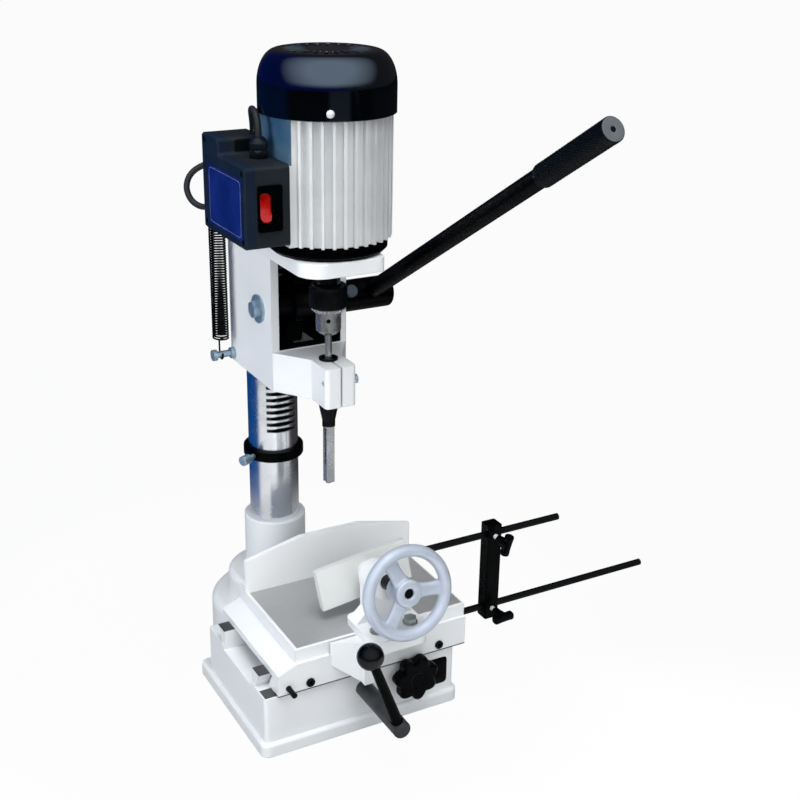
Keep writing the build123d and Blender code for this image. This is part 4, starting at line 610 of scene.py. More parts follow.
def turned(profile, spot, axis, side, columns, swell=None):
    """A grid round an axis: spot + t axis + r (cos a first + sin a second) for each pair (r, t)
    of the profile, with first as near to side as can be. swell changes r over t and a."""
    radius, along = np.asarray(profile, float).T
    angle = around(columns)
    radii = np.repeat(radius[:, None], columns, axis=1)
    if swell:
        radii = swell(radii, along[:, None], angle[None])
    axis = unit(np.asarray(axis, float))
    first = unit(np.asarray(side, float) - axis * np.dot(side, axis))
    ring = np.cos(angle)[:, None] * first + np.sin(angle)[:, None] * np.cross(axis, first)
    return np.asarray(spot, float) + along[:, None, None] * axis + radii[:, :, None] * ring


print("shape helper ready")

# %% [markdown]
# The last helpers make the object. It rides on a body of the frame and may stand for a
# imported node. Castings and mouldings that are joined from several forms get one voxel skin.

# %% Piece helper


def piece(name, form, slot, body, stands_for=None, material=None):
    """An object from a form in millimetres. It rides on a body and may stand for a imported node."""
    points, quads, triangles = form
    mesh = bpy.data.meshes.new(name)
    mesh.from_pydata((points * MM).tolist(), [], quads.tolist() + triangles.tolist())
    mesh.polygons.foreach_set("use_smooth", np.ones(len(mesh.polygons), bool))
    mesh.materials.append(material or finishes[slot])
    made = bpy.data.objects.new(name, mesh)
    bpy.context.scene.collection.objects.link(made)
    if body:
        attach(made, body)
    if stands_for:
        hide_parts(stands_for)
    print(name, "faces", len(mesh.polygons))
    return made


def one_skin(made, voxel, passes):
    """One voxel skin over all of a piece's forms, smoothed by a number of passes."""
    skin = made.modifiers.new("skin", "REMESH")
    skin.mode = "VOXEL"
    skin.voxel_size = voxel
    skin.use_smooth_shade = True
    soften = made.modifiers.new("soften", "SMOOTH")
    soften.factor = 0.5
    soften.iterations = passes


print("piece helper ready")

# %% [markdown]
# The vise's handwheel is one casting: a round rim, three spokes that widen into the rim and
# the hub, and fillets everywhere. Separate rings and bars would show hard joins, so they
# are joined, covered by one voxel skin and smoothed.

# %% Handwheel
WHEEL_SPOT = np.array((28.0, -210.0, 191.8))
SCREW_TILT = math.radians(12.0)
SCREW_WAY = np.array((0.0, math.cos(SCREW_TILT), -math.sin(SCREW_TILT)))
WHEEL_DOWN = np.cross(SCREW_WAY, X_AXIS)
RIM_RING, RIM_RADIUS = 46.7, 6.8
HUB_PROFILE = ((5.7, 10.0), (5.7, -4.6), (6.4, -5.2), (14.2, -5.2), (15.4, -4.0), (15.4, 19.5),
               (14.0, 22.0), (5.7, 22.0), (5.7, 10.0))
SPOKE_ANGLES = np.radians((5.0, 125.0, 245.0))
SPOKE_START, SPOKE_MIDDLE, SPOKE_REACH, SPOKE_BACK = 6.0, 28.0, 20.0, 3.0


def rim():
    """A ring: a circle of the rim's section swept round a larger circle."""
    section = around(40)
    profile = np.stack((RIM_RING + RIM_RADIUS * np.cos(section), RIM_RADIUS * np.sin(section)), 1)
    return looped(turned(profile, WHEEL_SPOT, SCREW_WAY, X_AXIS, 180))


def spoke(angle):
    """A bar from the hub to the rim. Its section is |u|^3 + |v|^3 = 1, and its half width and
    half thickness grow with the square of the distance from the bar's middle."""
    outward = math.cos(angle) * X_AXIS + math.sin(angle) * WHEEL_DOWN
    across = np.cross(SCREW_WAY, outward)
    reach = np.linspace(SPOKE_START, RIM_RING, 40)[:, None, None]
    end = ((reach - SPOKE_MIDDLE) / SPOKE_REACH) ** 2
    turn = around(36)[None, :, None]
    width = (8.0 + 3.0 * end) * powered(np.cos(turn), 2 / 3)
    depth = SPOKE_BACK + (3.4 + 1.0 * end) * powered(np.sin(turn), 2 / 3)
    return closed(WHEEL_SPOT + reach * outward + width * across + depth * SCREW_WAY)


hub = looped(turned(eased(HUB_PROFILE, 1.2, 5)[:-1], WHEEL_SPOT, SCREW_WAY, X_AXIS, 72))
wheel = piece("cast_handwheel", joined(rim(), hub, *[spoke(angle) for angle in SPOKE_ANGLES]),
              "silver_paint", "wheel", "handwheel")
one_skin(wheel, 0.0009, 10)

# %% [markdown]
# The return spring hangs from a pin under the column's top and pulls the head up by a stud.
# It is a wire swept along a helix that ends in two hooks. The section's first direction
# points away from the coil's axis, so that the tube never twists.

# %% Return spring
SPRING_X, SPRING_Y = -63.0, 78.0
COIL_RADIUS, WIRE_RADIUS, COIL_TURNS, STEPS_PER_TURN = 8.7, 1.05, 54, 26
COIL_TOP, COIL_BOTTOM = 564.0, 404.0
PIN_Z, STUD_Z, HOOK_RADIUS = 584.0, 384.0, 5.25
HOOK_STEPS, BEND_STEPS = 28, 8


def hook(middle_z, start, end):
    """An arc round a pin, in the plane of the coil's axis, between two angles."""
    angle = np.radians(np.linspace(start, end, HOOK_STEPS))
    return np.stack((np.full_like(angle, SPRING_X), SPRING_Y + HOOK_RADIUS * np.cos(angle),
                     middle_z + HOOK_RADIUS * np.sin(angle)), 1)


def bend(start, start_way, end, end_way):
    """A cubic curve between two points with given directions, its ends left out."""
    share = np.linspace(0.0, 1.0, BEND_STEPS + 2)[1:-1, None]
    pull = 0.55 * HOOK_RADIUS
    first = start + pull * start_way
    second = end - pull * end_way
    return ((1 - share) ** 3 * start + 3 * share * (1 - share) ** 2 * first
            + 3 * share ** 2 * (1 - share) * second + share ** 3 * end)


def spring_wire():
    """Circles across a line of hook, bend, helix, bend and hook. Each circle's first radius points
    away from the coil's axis, or along X on the hooks."""
    turn = np.linspace(0.0, 2 * np.pi * COIL_TURNS, COIL_TURNS * STEPS_PER_TURN + 1)
    helix = np.stack((SPRING_X + COIL_RADIUS * np.cos(turn), SPRING_Y + COIL_RADIUS * np.sin(turn),
                      COIL_TOP + (COIL_BOTTOM - COIL_TOP) * turn / turn[-1]), 1)
    upper = np.array((SPRING_X, SPRING_Y - HOOK_RADIUS, COIL_TOP + HOOK_RADIUS))
    lower = np.array((SPRING_X, SPRING_Y + HOOK_RADIUS, COIL_BOTTOM - HOOK_RADIUS))
    middle_line = np.vstack((hook(PIN_Z, -30.0, 180.0), upper, bend(upper, -Z_AXIS, helix[0], Y_AXIS),
                             helix, bend(helix[-1], Y_AXIS, lower, -Z_AXIS), lower,
                             hook(STUD_Z, 0.0, -210.0)))
    way = unit(np.gradient(middle_line, axis=0))
    outward = np.tile(X_AXIS, (len(middle_line), 1))
    first_turn = HOOK_STEPS + 1 + BEND_STEPS
    outward[first_turn:first_turn + len(turn)] = np.stack((np.cos(turn), np.sin(turn), 0 * turn), 1)
    outward = unit(outward - np.sum(outward * way, axis=1, keepdims=True) * way)
    section = around(12)[None, :, None]
    circles = np.cos(section) * outward[:, None] + np.sin(section) * np.cross(way, outward)[:, None]
    return middle_line[:, None] + WIRE_RADIUS * circles


spring = piece("wound_return_spring", closed(spring_wire()), "black_oxide", None, "return_spring")
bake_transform(spring)

# %% [markdown]
# The table's lock is a moulded knob with seven finger lobes. A cosine round the edge makes
# the lobes, and the profile's soft corners are the mould's rounds.

# %% Star knob
KNOB_SPOT = np.array((58.0, -188.0, 58.0))
KNOB_CORE, KNOB_LOBE, KNOB_LOBES, KNOB_EDGE, KNOB_FACE_EDGE = 21.6, 6.3, 7, 24.6, 10.5
KNOB_TURN = math.radians(70.0)
KNOB_PROFILE = ((0.5, 1.4), (9.0, 1.4), (KNOB_FACE_EDGE, 0.0), (22.0, 0.4), (KNOB_EDGE, 3.4),
                (KNOB_EDGE, 14.0), (22.0, 17.0), (8.0, 17.0), (8.0, 25.7), (0.5, 25.7))
KNOB_STUD = ((5.0, 25.0), (5.0, 47.0), (4.2, 48.0))


def lobes(radii, along, angle):
    """The edge's radius swells to each lobe by the power 0.7 of a raised cosine. Rows nearer to
    the axis swell by their share of the way from the face's edge to the knob's."""
    wave = ((1 + np.cos(KNOB_LOBES * (angle + KNOB_TURN))) / 2) ** 0.7
    edge = KNOB_CORE + KNOB_LOBE * wave
    share = np.clip((radii - KNOB_FACE_EDGE) / (KNOB_EDGE - KNOB_FACE_EDGE), 0.0, 1.0)
    return radii + share * (edge - KNOB_EDGE)


knob_head = closed(turned(eased(KNOB_PROFILE, 1.9, 7), KNOB_SPOT, Y_AXIS, X_AXIS, 252, lobes))
knob_stud = closed(turned(KNOB_STUD, KNOB_SPOT, Y_AXIS, X_AXIS, 40))
piece("moulded_star_knob", joined(knob_head, knob_stud), "knob_plastic", "lock_knob", "star_knob")

# %% [markdown]
# The feed lever's grip is rubber with a diamond knurl. Two sets of grooves run round it in
# opposite spirals. They could be a bump map, but they show in the grip's outline, so the
# grid itself carries them. The end is a grey moulded cap with a small hole.

# %% Lever grip
LEVER_SPOT = np.array((87.2, 0.5, 460.0))
LEVER_RISE = math.radians(31.15)
LEVER_WAY = np.array((0.0, -math.cos(LEVER_RISE), math.sin(LEVER_RISE)))
GRIP_START, GRIP_END, GRIP_RADIUS, GRIP_ROWS = 384.5, 494.9, 11.6, 200
KNURL_STARTS, KNURL_STEP, KNURL_DEPTH = 26, 4.6, 0.55
grip_end_finish = finish("moulded grey", grey(0.075, 0.08), grey(0.11, 0.1), (0.4, 0.55), shine=0.3)


def knurl(radii, along, angle):
    """Each spiral's groove is a triangle wave, and the deeper of the two grooves counts. Near the
    grip's ends the knurl fades out."""
    starts = KNURL_STARTS * angle / (2 * np.pi)
    left = np.abs(2 * ((starts + along / KNURL_STEP) % 1.0) - 1.0)
    right = np.abs(2 * ((starts - along / KNURL_STEP) % 1.0) - 1.0)
    groove = np.clip(1.0 - 2.4 * np.minimum(left, right), 0.0, 1.0)
    inside = np.clip(np.minimum(along - GRIP_START - 9.0, GRIP_END - 7.0 - along), 0.0, 1.0)
    return radii - KNURL_DEPTH * groove * inside


grip_rows = np.linspace(GRIP_START + 8.0, GRIP_END - 6.0, GRIP_ROWS)
grip_mouth = eased(((9.8, GRIP_START), (10.3, GRIP_START), (GRIP_RADIUS, GRIP_START + 2.4),
                    (GRIP_RADIUS, GRIP_START + 7.0)), 0.9, 5)
grip_tip = eased(((GRIP_RADIUS, GRIP_END - 4.0), (GRIP_RADIUS, GRIP_END - 0.8),
                  (11.0, GRIP_END - 0.2), (9.6, GRIP_END - 0.2)), 0.5, 5)
grip_profile = np.vstack((grip_mouth, np.stack((np.full(GRIP_ROWS, GRIP_RADIUS), grip_rows), 1), grip_tip))
piece("knurled_lever_grip",
      closed(turned(grip_profile, LEVER_SPOT, LEVER_WAY, X_AXIS, KNURL_STARTS * 8, knurl)),
      "grip_rubber", "lever", "lever_grip")
cap_profile = eased(((2.6, GRIP_END - 0.9), (2.6, GRIP_END), (10.8, GRIP_END), (10.8, GRIP_END - 0.9),
                     (2.6, GRIP_END - 0.9)), 0.3, 4)
piece("grip_end_cap", looped(turned(cap_profile[:-1], LEVER_SPOT, LEVER_WAY, X_AXIS, 64)[::-1]),
      "grip_rubber", "lever", material=grip_end_finish)

# %% [markdown]
# The table's crank is a tapered arm with a phenolic ball. The ball has a flat seat and a
# short neck where the arm enters it.

# %% Crank
CRANK_SPOT = np.array((1.0, -246.0, 52.0))
CRANK_LEAN = math.radians(20.0)
CRANK_WAY = np.array((-math.sin(CRANK_LEAN), 0.0, math.cos(CRANK_LEAN)))
CRANK_LENGTH, BALL_RADIUS, BALL_SEAT = 106.5, 14.5, 13.6
arm_profile = eased(((5.0, 0.0), (5.0, 9.2), (7.4, 9.2), (7.4, 12.6), (6.3, 13.6), (5.1, 88.0),
                     (4.9, CRANK_LENGTH - 1.0)), 0.8, 5)
piece("crank_tapered_arm", closed(turned(arm_profile, CRANK_SPOT, CRANK_WAY, Y_AXIS, 48)),
      "black_paint", "crank", "crank_arm")
lift = np.radians(np.linspace(-62.0, 89.0, 48))
ball = np.stack((BALL_RADIUS * np.cos(lift), CRANK_LENGTH + BALL_RADIUS * np.sin(lift)), 1)
ball_profile = np.vstack((((5.0, CRANK_LENGTH - BALL_SEAT), (6.4, CRANK_LENGTH - BALL_SEAT)), ball))
piece("crank_ball_grip", closed(turned(ball_profile, CRANK_SPOT, CRANK_WAY, Y_AXIS, 72)),
      "gloss_black", "crank", "crank_ball")

# %% [markdown]
# The switch has a red rocker with a hollow front, so that a finger finds its ends. Its side
# outline is swept across its width and shrinks towards both sides, which rounds it off.

# %% Rocker
ROCKER_SPOT = np.array((-86.5, -111.0, 601.0))
ROCKER_TILT = math.radians(-10.0)
ROCKER_HALF, ROCKER_TALL, ROCKER_FRONT, ROCKER_BACK_TALL = 6.0, 14.5, 8.0, 10.2
ROCKER_MIDDLE = np.array((-4.0, 0.0))


def rocker_outline():
    """Back edge, two sloping ends and a front that is a hollow parabola, in depth and height."""
    height = np.linspace(ROCKER_TALL - 0.8, -ROCKER_TALL + 0.8, 25)
    front = np.stack((-ROCKER_FRONT + 2.2 * (1 - (height / ROCKER_TALL) ** 2), height), 1)
    corners = np.vstack(((0.0, 0.0), (0.0, ROCKER_BACK_TALL), (-ROCKER_FRONT + 0.6, ROCKER_TALL), front,
                         (-ROCKER_FRONT + 0.6, -ROCKER_TALL), (0.0, -ROCKER_BACK_TALL), (0.0, 0.0)))
    return eased(corners, 0.5, 4)[:-1]


def rocker_rings():
    """The outline at half width sin a, shrunk to its middle by the power 0.3 of cos a, then tilted."""
    across = np.radians(np.linspace(-82.0, 82.0, 25))
    inset = np.cos(across)[:, None, None] ** 0.3
    upright = ROCKER_MIDDLE + inset * (rocker_outline() - ROCKER_MIDDLE)
    depth = upright[..., 0] * math.cos(ROCKER_TILT) - upright[..., 1] * math.sin(ROCKER_TILT)
    height = upright[..., 0] * math.sin(ROCKER_TILT) + upright[..., 1] * math.cos(ROCKER_TILT)
    sideways = ROCKER_HALF * np.sin(across)[:, None] + 0 * depth
    return ROCKER_SPOT + np.stack((sideways, depth, height), -1)


piece("moulded_rocker", closed(rocker_rings()), "switch_red", "rocker", "switch_rocker")

# %% [markdown]
# A cable gland is a six-sided nut with a ribbed dome that grips the lead.

# %% Cable glands
GLAND_RADIUS, NUT_SHARE, GLAND_RIBS = 10.0, 0.36, 30
GLAND_PROFILE = ((GLAND_RADIUS, 0.0), (GLAND_RADIUS, 0.32), (8.6, NUT_SHARE), (8.6, 0.43), (9.2, 0.46),
                 (9.2, 0.70), (7.9, 0.88), (5.2, 0.99), (3.3, 1.0))
gland_finish = finish("moulded black nylon", grey(0.003, 0.3), grey(0.006, 0.4), (0.22, 0.32),
                      soft_edge=0.0)


def gland(spot, axis, side, tall):
    """A turned dome. Below the nut's top the radius follows a hexagon's sides, above it ribs."""
    corners = np.array(GLAND_PROFILE) * (1.0, tall)

    def nut_and_ribs(radii, along, angle):
        side_angle = (angle % (np.pi / 3)) - np.pi / 6
        flat = GLAND_RADIUS * math.cos(np.pi / 6) / np.cos(side_angle)
        ribs = 0.22 * np.cos(GLAND_RIBS * angle) * ((along > 0.45 * tall) & (along < 0.80 * tall))
        return np.where(along < NUT_SHARE * tall, np.minimum(radii, flat), radii + ribs)

    return closed(turned(eased(corners, 0.9, 5), spot, axis, side, 240, nut_and_ribs))


piece("ribbed_glands", joined(gland((-74.0, -74.0, 642.0), Z_AXIS, X_AXIS, 21.0),
                              gland((-84.0, -6.0, 581.0), Y_AXIS, X_AXIS, 12.0)),
      "knob_plastic", "head", "cable_glands", gland_finish)

# %% [markdown]
# The fan cover is a deep drawn steel cap with slots that let the air in. Its round shoulder
# is a quarter of an ellipse. Faces of the grid are left out where the slots are, and a
# Solidify modifier gives the sheet its thickness. Its baked enamel has a hard, cool gloss.

# %% Fan cover
MOTOR_SPOT = np.array((0.0, -76.5, 0.0))
COVER_RADIUS, COVER_LOW, COVER_TOP = 70.0, 684.0, 744.0
SHOULDER_IN, SHOULDER_DOWN, COVER_WALL = 20.0, 34.0, 2.5
VENTS, VENT_INNER, VENT_OUTER, VENT_COLUMNS, VENT_OPEN = 24, 22.0, 44.0, 8, 3
COVER_RADII = np.array((0.4, 6.0, 14.0, 21.0, VENT_INNER, 27.5, 33.0, 38.5, VENT_OUTER, 45.0, 48.0))
COVER_SKIRT = ((COVER_RADIUS, 700.0), (COVER_RADIUS, COVER_LOW + 0.6), (COVER_RADIUS, COVER_LOW))
cover_finish = finish("baked black enamel", grey(0.0006, 0.4), grey(0.0012, 0.5), (0.08, 0.14),
                      ripple=300.0, depth=0.00001, ior=2.4, soft_edge=0.0)
cover_shader = cover_finish.node_tree.nodes["Principled BSDF"]
cover_shader.inputs["Specular Tint"].default_value = rgb(0.68, 0.82, 1.0)


def slotted_cap():
    """A turned sheet: a flat top, a quarter ellipse (in + a cos b, up + c sin b) and a skirt."""
    bow = np.radians(np.linspace(90.0, 0.0, 24))
    top = np.stack((COVER_RADII, np.full(len(COVER_RADII), COVER_TOP)), 1)
    shoulder = np.stack((COVER_RADIUS - SHOULDER_IN + SHOULDER_IN * np.cos(bow),
                         COVER_TOP - SHOULDER_DOWN + SHOULDER_DOWN * np.sin(bow)), 1)
    profile = np.vstack((top, shoulder, COVER_SKIRT))
    grid = turned(profile, MOTOR_SPOT, Z_AXIS, X_AXIS, VENTS * VENT_COLUMNS)
    rows, columns = grid.shape[:2]
    sheet = lattice(rows, columns, wrap_columns=True).reshape(rows - 1, columns, 4)
    slot_rows = (profile[:-1, 0] >= VENT_INNER) & (profile[1:, 0] <= VENT_OUTER)
    slot_columns = np.arange(columns) % VENT_COLUMNS < VENT_OPEN
    kept = ~(slot_rows[:, None] & slot_columns[None])
    ring = np.arange(columns)
    top_fan = np.stack((np.full(columns, rows * columns), ring, np.roll(ring, -1)), 1)
    points = np.vstack((grid.reshape(-1, 3), MOTOR_SPOT + COVER_TOP * Z_AXIS))
    return points, sheet[kept][:, ::-1], top_fan


cover = piece("drawn_fan_cover", slotted_cap(), "gloss_black", "head", "fan_cover", cover_finish)
wall = cover.modifiers.new("wall", "SOLIDIFY")
wall.thickness = COVER_WALL * MM
wall.offset = -1.0

# %% [markdown]
# Three domed screws hold the fan cover's skirt. Each is turned about its own axis: a dome
# with a rolled edge and a short shank that goes through the skirt.

# %% Cover screws
SCREW_ANGLES = np.radians(-113.4 + 120.0 * np.arange(3))
SCREW_SPOT = MOTOR_SPOT + 691.5 * Z_AXIS
DOME_RADIUS, DOME_TALL, DOME_EDGE, SHANK_RADIUS = 3.8, 2.3, 4.0, 2.4
bright_finish = finish("bright stud", grey(0.62, 0.02), grey(0.78, 0.02), (0.25, 0.4), 0.2, soft_edge=0.0)
lift = np.radians(np.linspace(88.0, 8.0, 14))
dome = np.stack((DOME_RADIUS * np.cos(lift), COVER_RADIUS + DOME_TALL * np.sin(lift)), 1)
shank = ((DOME_EDGE, COVER_RADIUS + 0.1), (DOME_EDGE, COVER_RADIUS - 0.4),
         (SHANK_RADIUS, COVER_RADIUS - 0.5), (SHANK_RADIUS, COVER_RADIUS - 4.0))
screw_profile = np.vstack((dome, shank))[::-1]


def cover_screw(angle):
    """A screw that points straight out of the cover at an angle."""
    outward = math.cos(angle) * X_AXIS + math.sin(angle) * Y_AXIS
    return closed(turned(screw_profile, SCREW_SPOT, outward, Z_AXIS, 40))


piece("domed_cover_screws", joined(*[cover_screw(angle) for angle in SCREW_ANGLES]), "zinc_plate", "head",
      "fan_cover_screws", bright_finish)

# %% [markdown]
# The control box's navy plate has a pale border line. It is a thin raised loop round a
# rectangle with soft corners.

# %% Plate border
BORDER_INSET = 2.4
BORDER_STEPS = np.array(((0.0, 0.0), (0.0, 0.12), (0.45, 0.12), (0.45, 0.0)))
border_finish = finish("pale border", rgb(0.20, 0.24, 0.40), rgb(0.34, 0.38, 0.52), (0.4, 0.5), shine=0.2)
plate_low, plate_high = (np.array(corner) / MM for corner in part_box("blank_plate"))


def border_rings():
    """Soft rectangles in the plate's plane, each with the inset and the rise of its step."""
    middle = (plate_low + plate_high)[1:] / 2
    half = (plate_high - plate_low)[1:] / 2 - BORDER_INSET
    rings = soft_rectangle(160, 0.12)[None] * (half - BORDER_STEPS[:, None, :1])
    depth = plate_low[0] - BORDER_STEPS[:, 1][:, None] + 0 * rings[..., 0]
    return np.stack((depth, middle[0] + rings[..., 0], middle[1] + rings[..., 1]), -1)


piece("plate_border", looped(border_rings()), "label_navy", "head", material=border_finish)

# %% [markdown]
# The drill chuck has a black sleeve with fine flutes and a bright ring of teeth at its foot
# that the chuck key turns. Its body has a hole for the key's pin, lined and closed at its end.

# %% Chuck
SLEEVE_PROFILE = ((14.1, 490.0), (14.1, 478.9), (19.8, 478.9), (20.4, 480.4), (20.4, 500.0),
                  (18.8, 503.0), (14.1, 503.0), (14.1, 490.0))
RING_PROFILE = ((14.1, 476.0), (14.1, 473.2), (15.0, 473.0), (18.4, 476.4), (18.8, 477.4),
                (18.8, 478.7), (14.1, 478.7), (14.1, 476.0))
LINING_PROFILE = ((2.32, 12.4), (2.32, 10.0), (1.9, 9.9), (1.9, 13.3), (2.32, 13.3), (2.32, 12.4))
HOLE_END = ((2.3, 9.9), (2.3, 10.2), (0.2, 10.3))
KEY_HOLE_ANGLE = math.radians(-115.0)
KEY_HOLE_SPOT = MOTOR_SPOT + 466.0 * Z_AXIS
SLEEVE_FLUTES, KEY_TEETH, CHUCK_COLUMNS = 48, 24, 288


def flutes(radii, along, angle):
    """Fine upright flutes on the sleeve's outside, each the third power of a raised cosine."""
    return radii - 0.35 * (radii > 20.0) * (0.5 + 0.5 * np.cos(SLEEVE_FLUTES * angle)) ** 3


def key_teeth(radii, along, angle):
    """Gaps in the ring's sloping edge, each the third power of a raised cosine."""
    slope = np.clip((radii - 15.2) / 2.6, 0.0, 1.0)
    return radii - 2.2 * slope * (0.5 + 0.5 * np.cos(KEY_TEETH * angle)) ** 3


sleeve = turned(eased(SLEEVE_PROFILE, 0.8, 4)[:-1], MOTOR_SPOT, Z_AXIS, X_AXIS, CHUCK_COLUMNS, flutes)
piece("fluted_chuck_sleeve", looped(sleeve), "black_oxide", "chuck_sleeve", "chuck_sleeve")
key_ring = turned(eased(RING_PROFILE, 0.5, 4)[:-1], MOTOR_SPOT, Z_AXIS, X_AXIS, CHUCK_COLUMNS, key_teeth)
piece("chuck_key_ring", looped(key_ring), "chuck_chrome", "chuck_sleeve")
key_way = math.cos(KEY_HOLE_ANGLE) * X_AXIS + math.sin(KEY_HOLE_ANGLE) * Y_AXIS
lining = looped(turned(eased(LINING_PROFILE, 0.1, 3)[:-1], KEY_HOLE_SPOT, key_way, Z_AXIS, 32))
hole_end = closed(turned(HOLE_END, KEY_HOLE_SPOT, key_way, Z_AXIS, 32))
piece("key_hole_lining", joined(lining, hole_end), "black_oxide", "spindle")

# %% [markdown]
# The bit is an auger: two flutes wind round a thin core below the chisel's shank. The twist
# is in the grid, as a wave whose angle grows along the bit.

# %% Auger
BIT_RADIUS, BIT_ROWS, TWIST_STEP, TWIST_TOP = 3.7, 300, 17.0, 416.0


def twist(radii, along, angle):
    """Two flutes that turn once in a step, deepest half way between the cutting lands."""
    wave = (0.5 + 0.5 * np.cos(2 * (angle - 2 * np.pi * along / TWIST_STEP))) ** 1.5
    wound = np.clip((TWIST_TOP - along) / 6.0, 0.0, 1.0) * (radii > 3.0)
    return radii - 2.1 * wave * wound


bit_run = np.stack((np.full(BIT_ROWS, BIT_RADIUS), np.linspace(273.0, 449.5, BIT_ROWS)), 1)
bit_profile = np.vstack((((0.4, 270.5), (2.0, 272.0), (3.5, 272.6)), bit_run,
                         ((BIT_RADIUS, 467.5), (3.2, 468.0))))
piece("twist_auger", closed(turned(bit_profile, MOTOR_SPOT, Z_AXIS, X_AXIS, 48, twist)), "tool_steel",
      "spindle", "auger_bit")

# %% [markdown]
# Two wing knobs hold the stop's rods. Each has a bright stud, a hub that spreads out and two
# wings that thicken towards their ends. They are one moulding, so a voxel skin joins them.

# %% Wing knobs
STUD_INNER, STUD_OUTER, WING_BACK, WING_FRONT = -154.6, -165.4, -177.5, -188.3
WING_SPAN, WING_WAIST, WING_GROWTH = 13.0, 3.6, 1.6
WING_HUB, WING_HUB_GROWTH = 4.6, 5.6
WING_PLACES = {"upper": ((172.0, 0.0, 201.0), 73.0), "lower": ((172.0, 0.0, 106.0), 4.0)}
STUD_PROFILE = eased(((0.4, STUD_OUTER - 1.0), (3.0, STUD_OUTER - 1.0), (3.0, STUD_INNER),
                      (0.4, STUD_INNER + 0.2)), 0.4, 4)


def wing_ways(degrees):
    """The directions along and across wings that are turned by some degrees."""
    along = math.cos(math.radians(degrees)) * X_AXIS + math.sin(math.radians(degrees)) * Z_AXIS
    return along, np.cross(along, Y_AXIS)


def wings(spot, degrees):
    """A bar through the axis: at a share s of the half span its half height is
    waist + growth s s, and both half height and half depth shrink to the ends as the fourth root
    of 1 - s^8."""
    along, across = wing_ways(degrees)
    share = np.sin(np.linspace(-0.5, 0.5, 41) * np.pi)[:, None, None] * 0.9999
    end = (1 - share ** 8) ** 0.25
    turn = around(40)[None, :, None]
    tall = (WING_WAIST + WING_GROWTH * share ** 2) * powered(np.cos(turn), 0.6)
    deep = (WING_BACK - WING_FRONT) / 2 * powered(np.sin(turn), 0.6)
    middle = np.array(spot) + (WING_BACK + WING_FRONT) / 2 * Y_AXIS
    return closed(middle + WING_SPAN * share * along + end * (tall * -across + deep * Y_AXIS))


def wing_hub(spot, degrees):
    """A cone from the stud to the wings that spreads along the wings: its half width there grows
    with the power 1.5 of the distance, and its half thickness stays nearly the same."""
    along, across = wing_ways(degrees)
    share = np.linspace(0.0, 1.0, 30)[:, None, None]
    turn = around(40)[None, :, None]
    wide = (WING_HUB + WING_HUB_GROWTH * share ** 1.5) * np.cos(turn)
    thick = (WING_HUB - 0.4 * share) * np.sin(turn)
    depth = STUD_OUTER + share * (WING_FRONT + 2.0 - STUD_OUTER)
    return closed(np.array(spot) + wide * along + thick * across + depth * Y_AXIS)


for label, (spot, degrees) in WING_PLACES.items():
    knob = piece(label + "_moulded_wings", joined(wing_hub(spot, degrees), wings(spot, degrees)),
                 "knob_plastic", label + "_wing_knob", label + "_wing_knob")
    one_skin(knob, 0.0005, 6)
    piece(label + "_wing_stud", closed(turned(STUD_PROFILE, spot, Y_AXIS, X_AXIS, 32)), "zinc_plate",
          label + "_wing_knob", material=bright_finish)

# %% [markdown]
# A black plate with rounded corners is stuck on the front of the base.

# %% Base plate
PLATE_SPOT = np.array((91.0, -162.0, 43.5))
PLATE_HALF = np.array((19.0, 17.5))
PLATE_RISE, PLATE_INSET = np.array((0.0, 0.45, 0.6)), np.array((0.0, 0.0, 0.2))


def plate_rings():
    """Soft rectangles one in front of the other, the last a little smaller."""
    rings = soft_rectangle(96, 0.22)[None] * (PLATE_HALF - PLATE_INSET[:, None, None])
    depth = -PLATE_RISE[:, None] + 0 * rings[..., 0]
    return PLATE_SPOT + np.stack((rings[..., 0], depth, rings[..., 1]), -1)


piece("bare_base_plate", closed(plate_rings()), "black_paint", "base")

# %% [markdown]
# The floor is a pale sheet that runs on behind the machine. The photograph's ground is
# plain white, so the floor shows white to the camera and still takes the soft shadow.
# Upright shiny faces mirror the floor because the camera looks down on them. A studio's
# paper ends a step from the machine, so the floor darkens there: blue at the back on the
# left, grey elsewhere. The column, the motor and the black fittings get their depth from it.
# A brighter lane straight ahead gives the column and the fan cover their narrow streak,
# and the sheet is greyer close to the base so that little light comes up from it there.

# %% Floor finish
COLUMN_FOOT = (0.0, 0.078, 0.0)
ROOM_FRONT, FRONT_SPREAD = (-0.342, -0.940, 0.0), (0.20, 0.42)
LANE_WAY, LANE_SPREAD = (-0.096, -0.995, 0.0), (0.945, 0.975)
LEFT_TO_RIGHT = (-0.2, 0.3)
PAPER_END, BASE_EDGE = (1.25, 1.0), (0.46, 0.36)
BACK_LEFT, BACK_RIGHT = rgb(0.004, 0.060, 0.230), rgb(0.04, 0.037, 0.04)
WHITE_SHARE = 0.965
floor_material = bpy.data.materials.new("studio floor")
floor_material.use_nodes = True
tree = floor_material.node_tree
floor_shader = tree.nodes["Principled BSDF"]
floor_place = tree.nodes.new("ShaderNodeTexCoord").outputs["Object"]
from_column = vectors(tree, "SUBTRACT", floor_place, COLUMN_FOOT)["Vector"]
reach = vectors(tree, "LENGTH", from_column)["Value"]
outward = vectors(tree, "NORMALIZE", from_column)["Vector"]
sideways = add(tree, "ShaderNodeSeparateXYZ", Vector=outward).outputs[0]
surround = mixed(tree, ranged(tree, sideways, *LEFT_TO_RIGHT), BACK_LEFT, BACK_RIGHT)
lane = ranged(tree, vectors(tree, "DOT_PRODUCT", outward, LANE_WAY)["Value"], *LANE_SPREAD)
paper = mixed(tree, noise(tree, floor_place, 3.0), grey(0.77), grey(0.80))
beyond = mixed(tree, lane, grey(0.008), grey(0.22))
ahead = mixed(tree, ranged(tree, reach, *PAPER_END), beyond, mixed(tree, lane, paper, grey(0.92)))
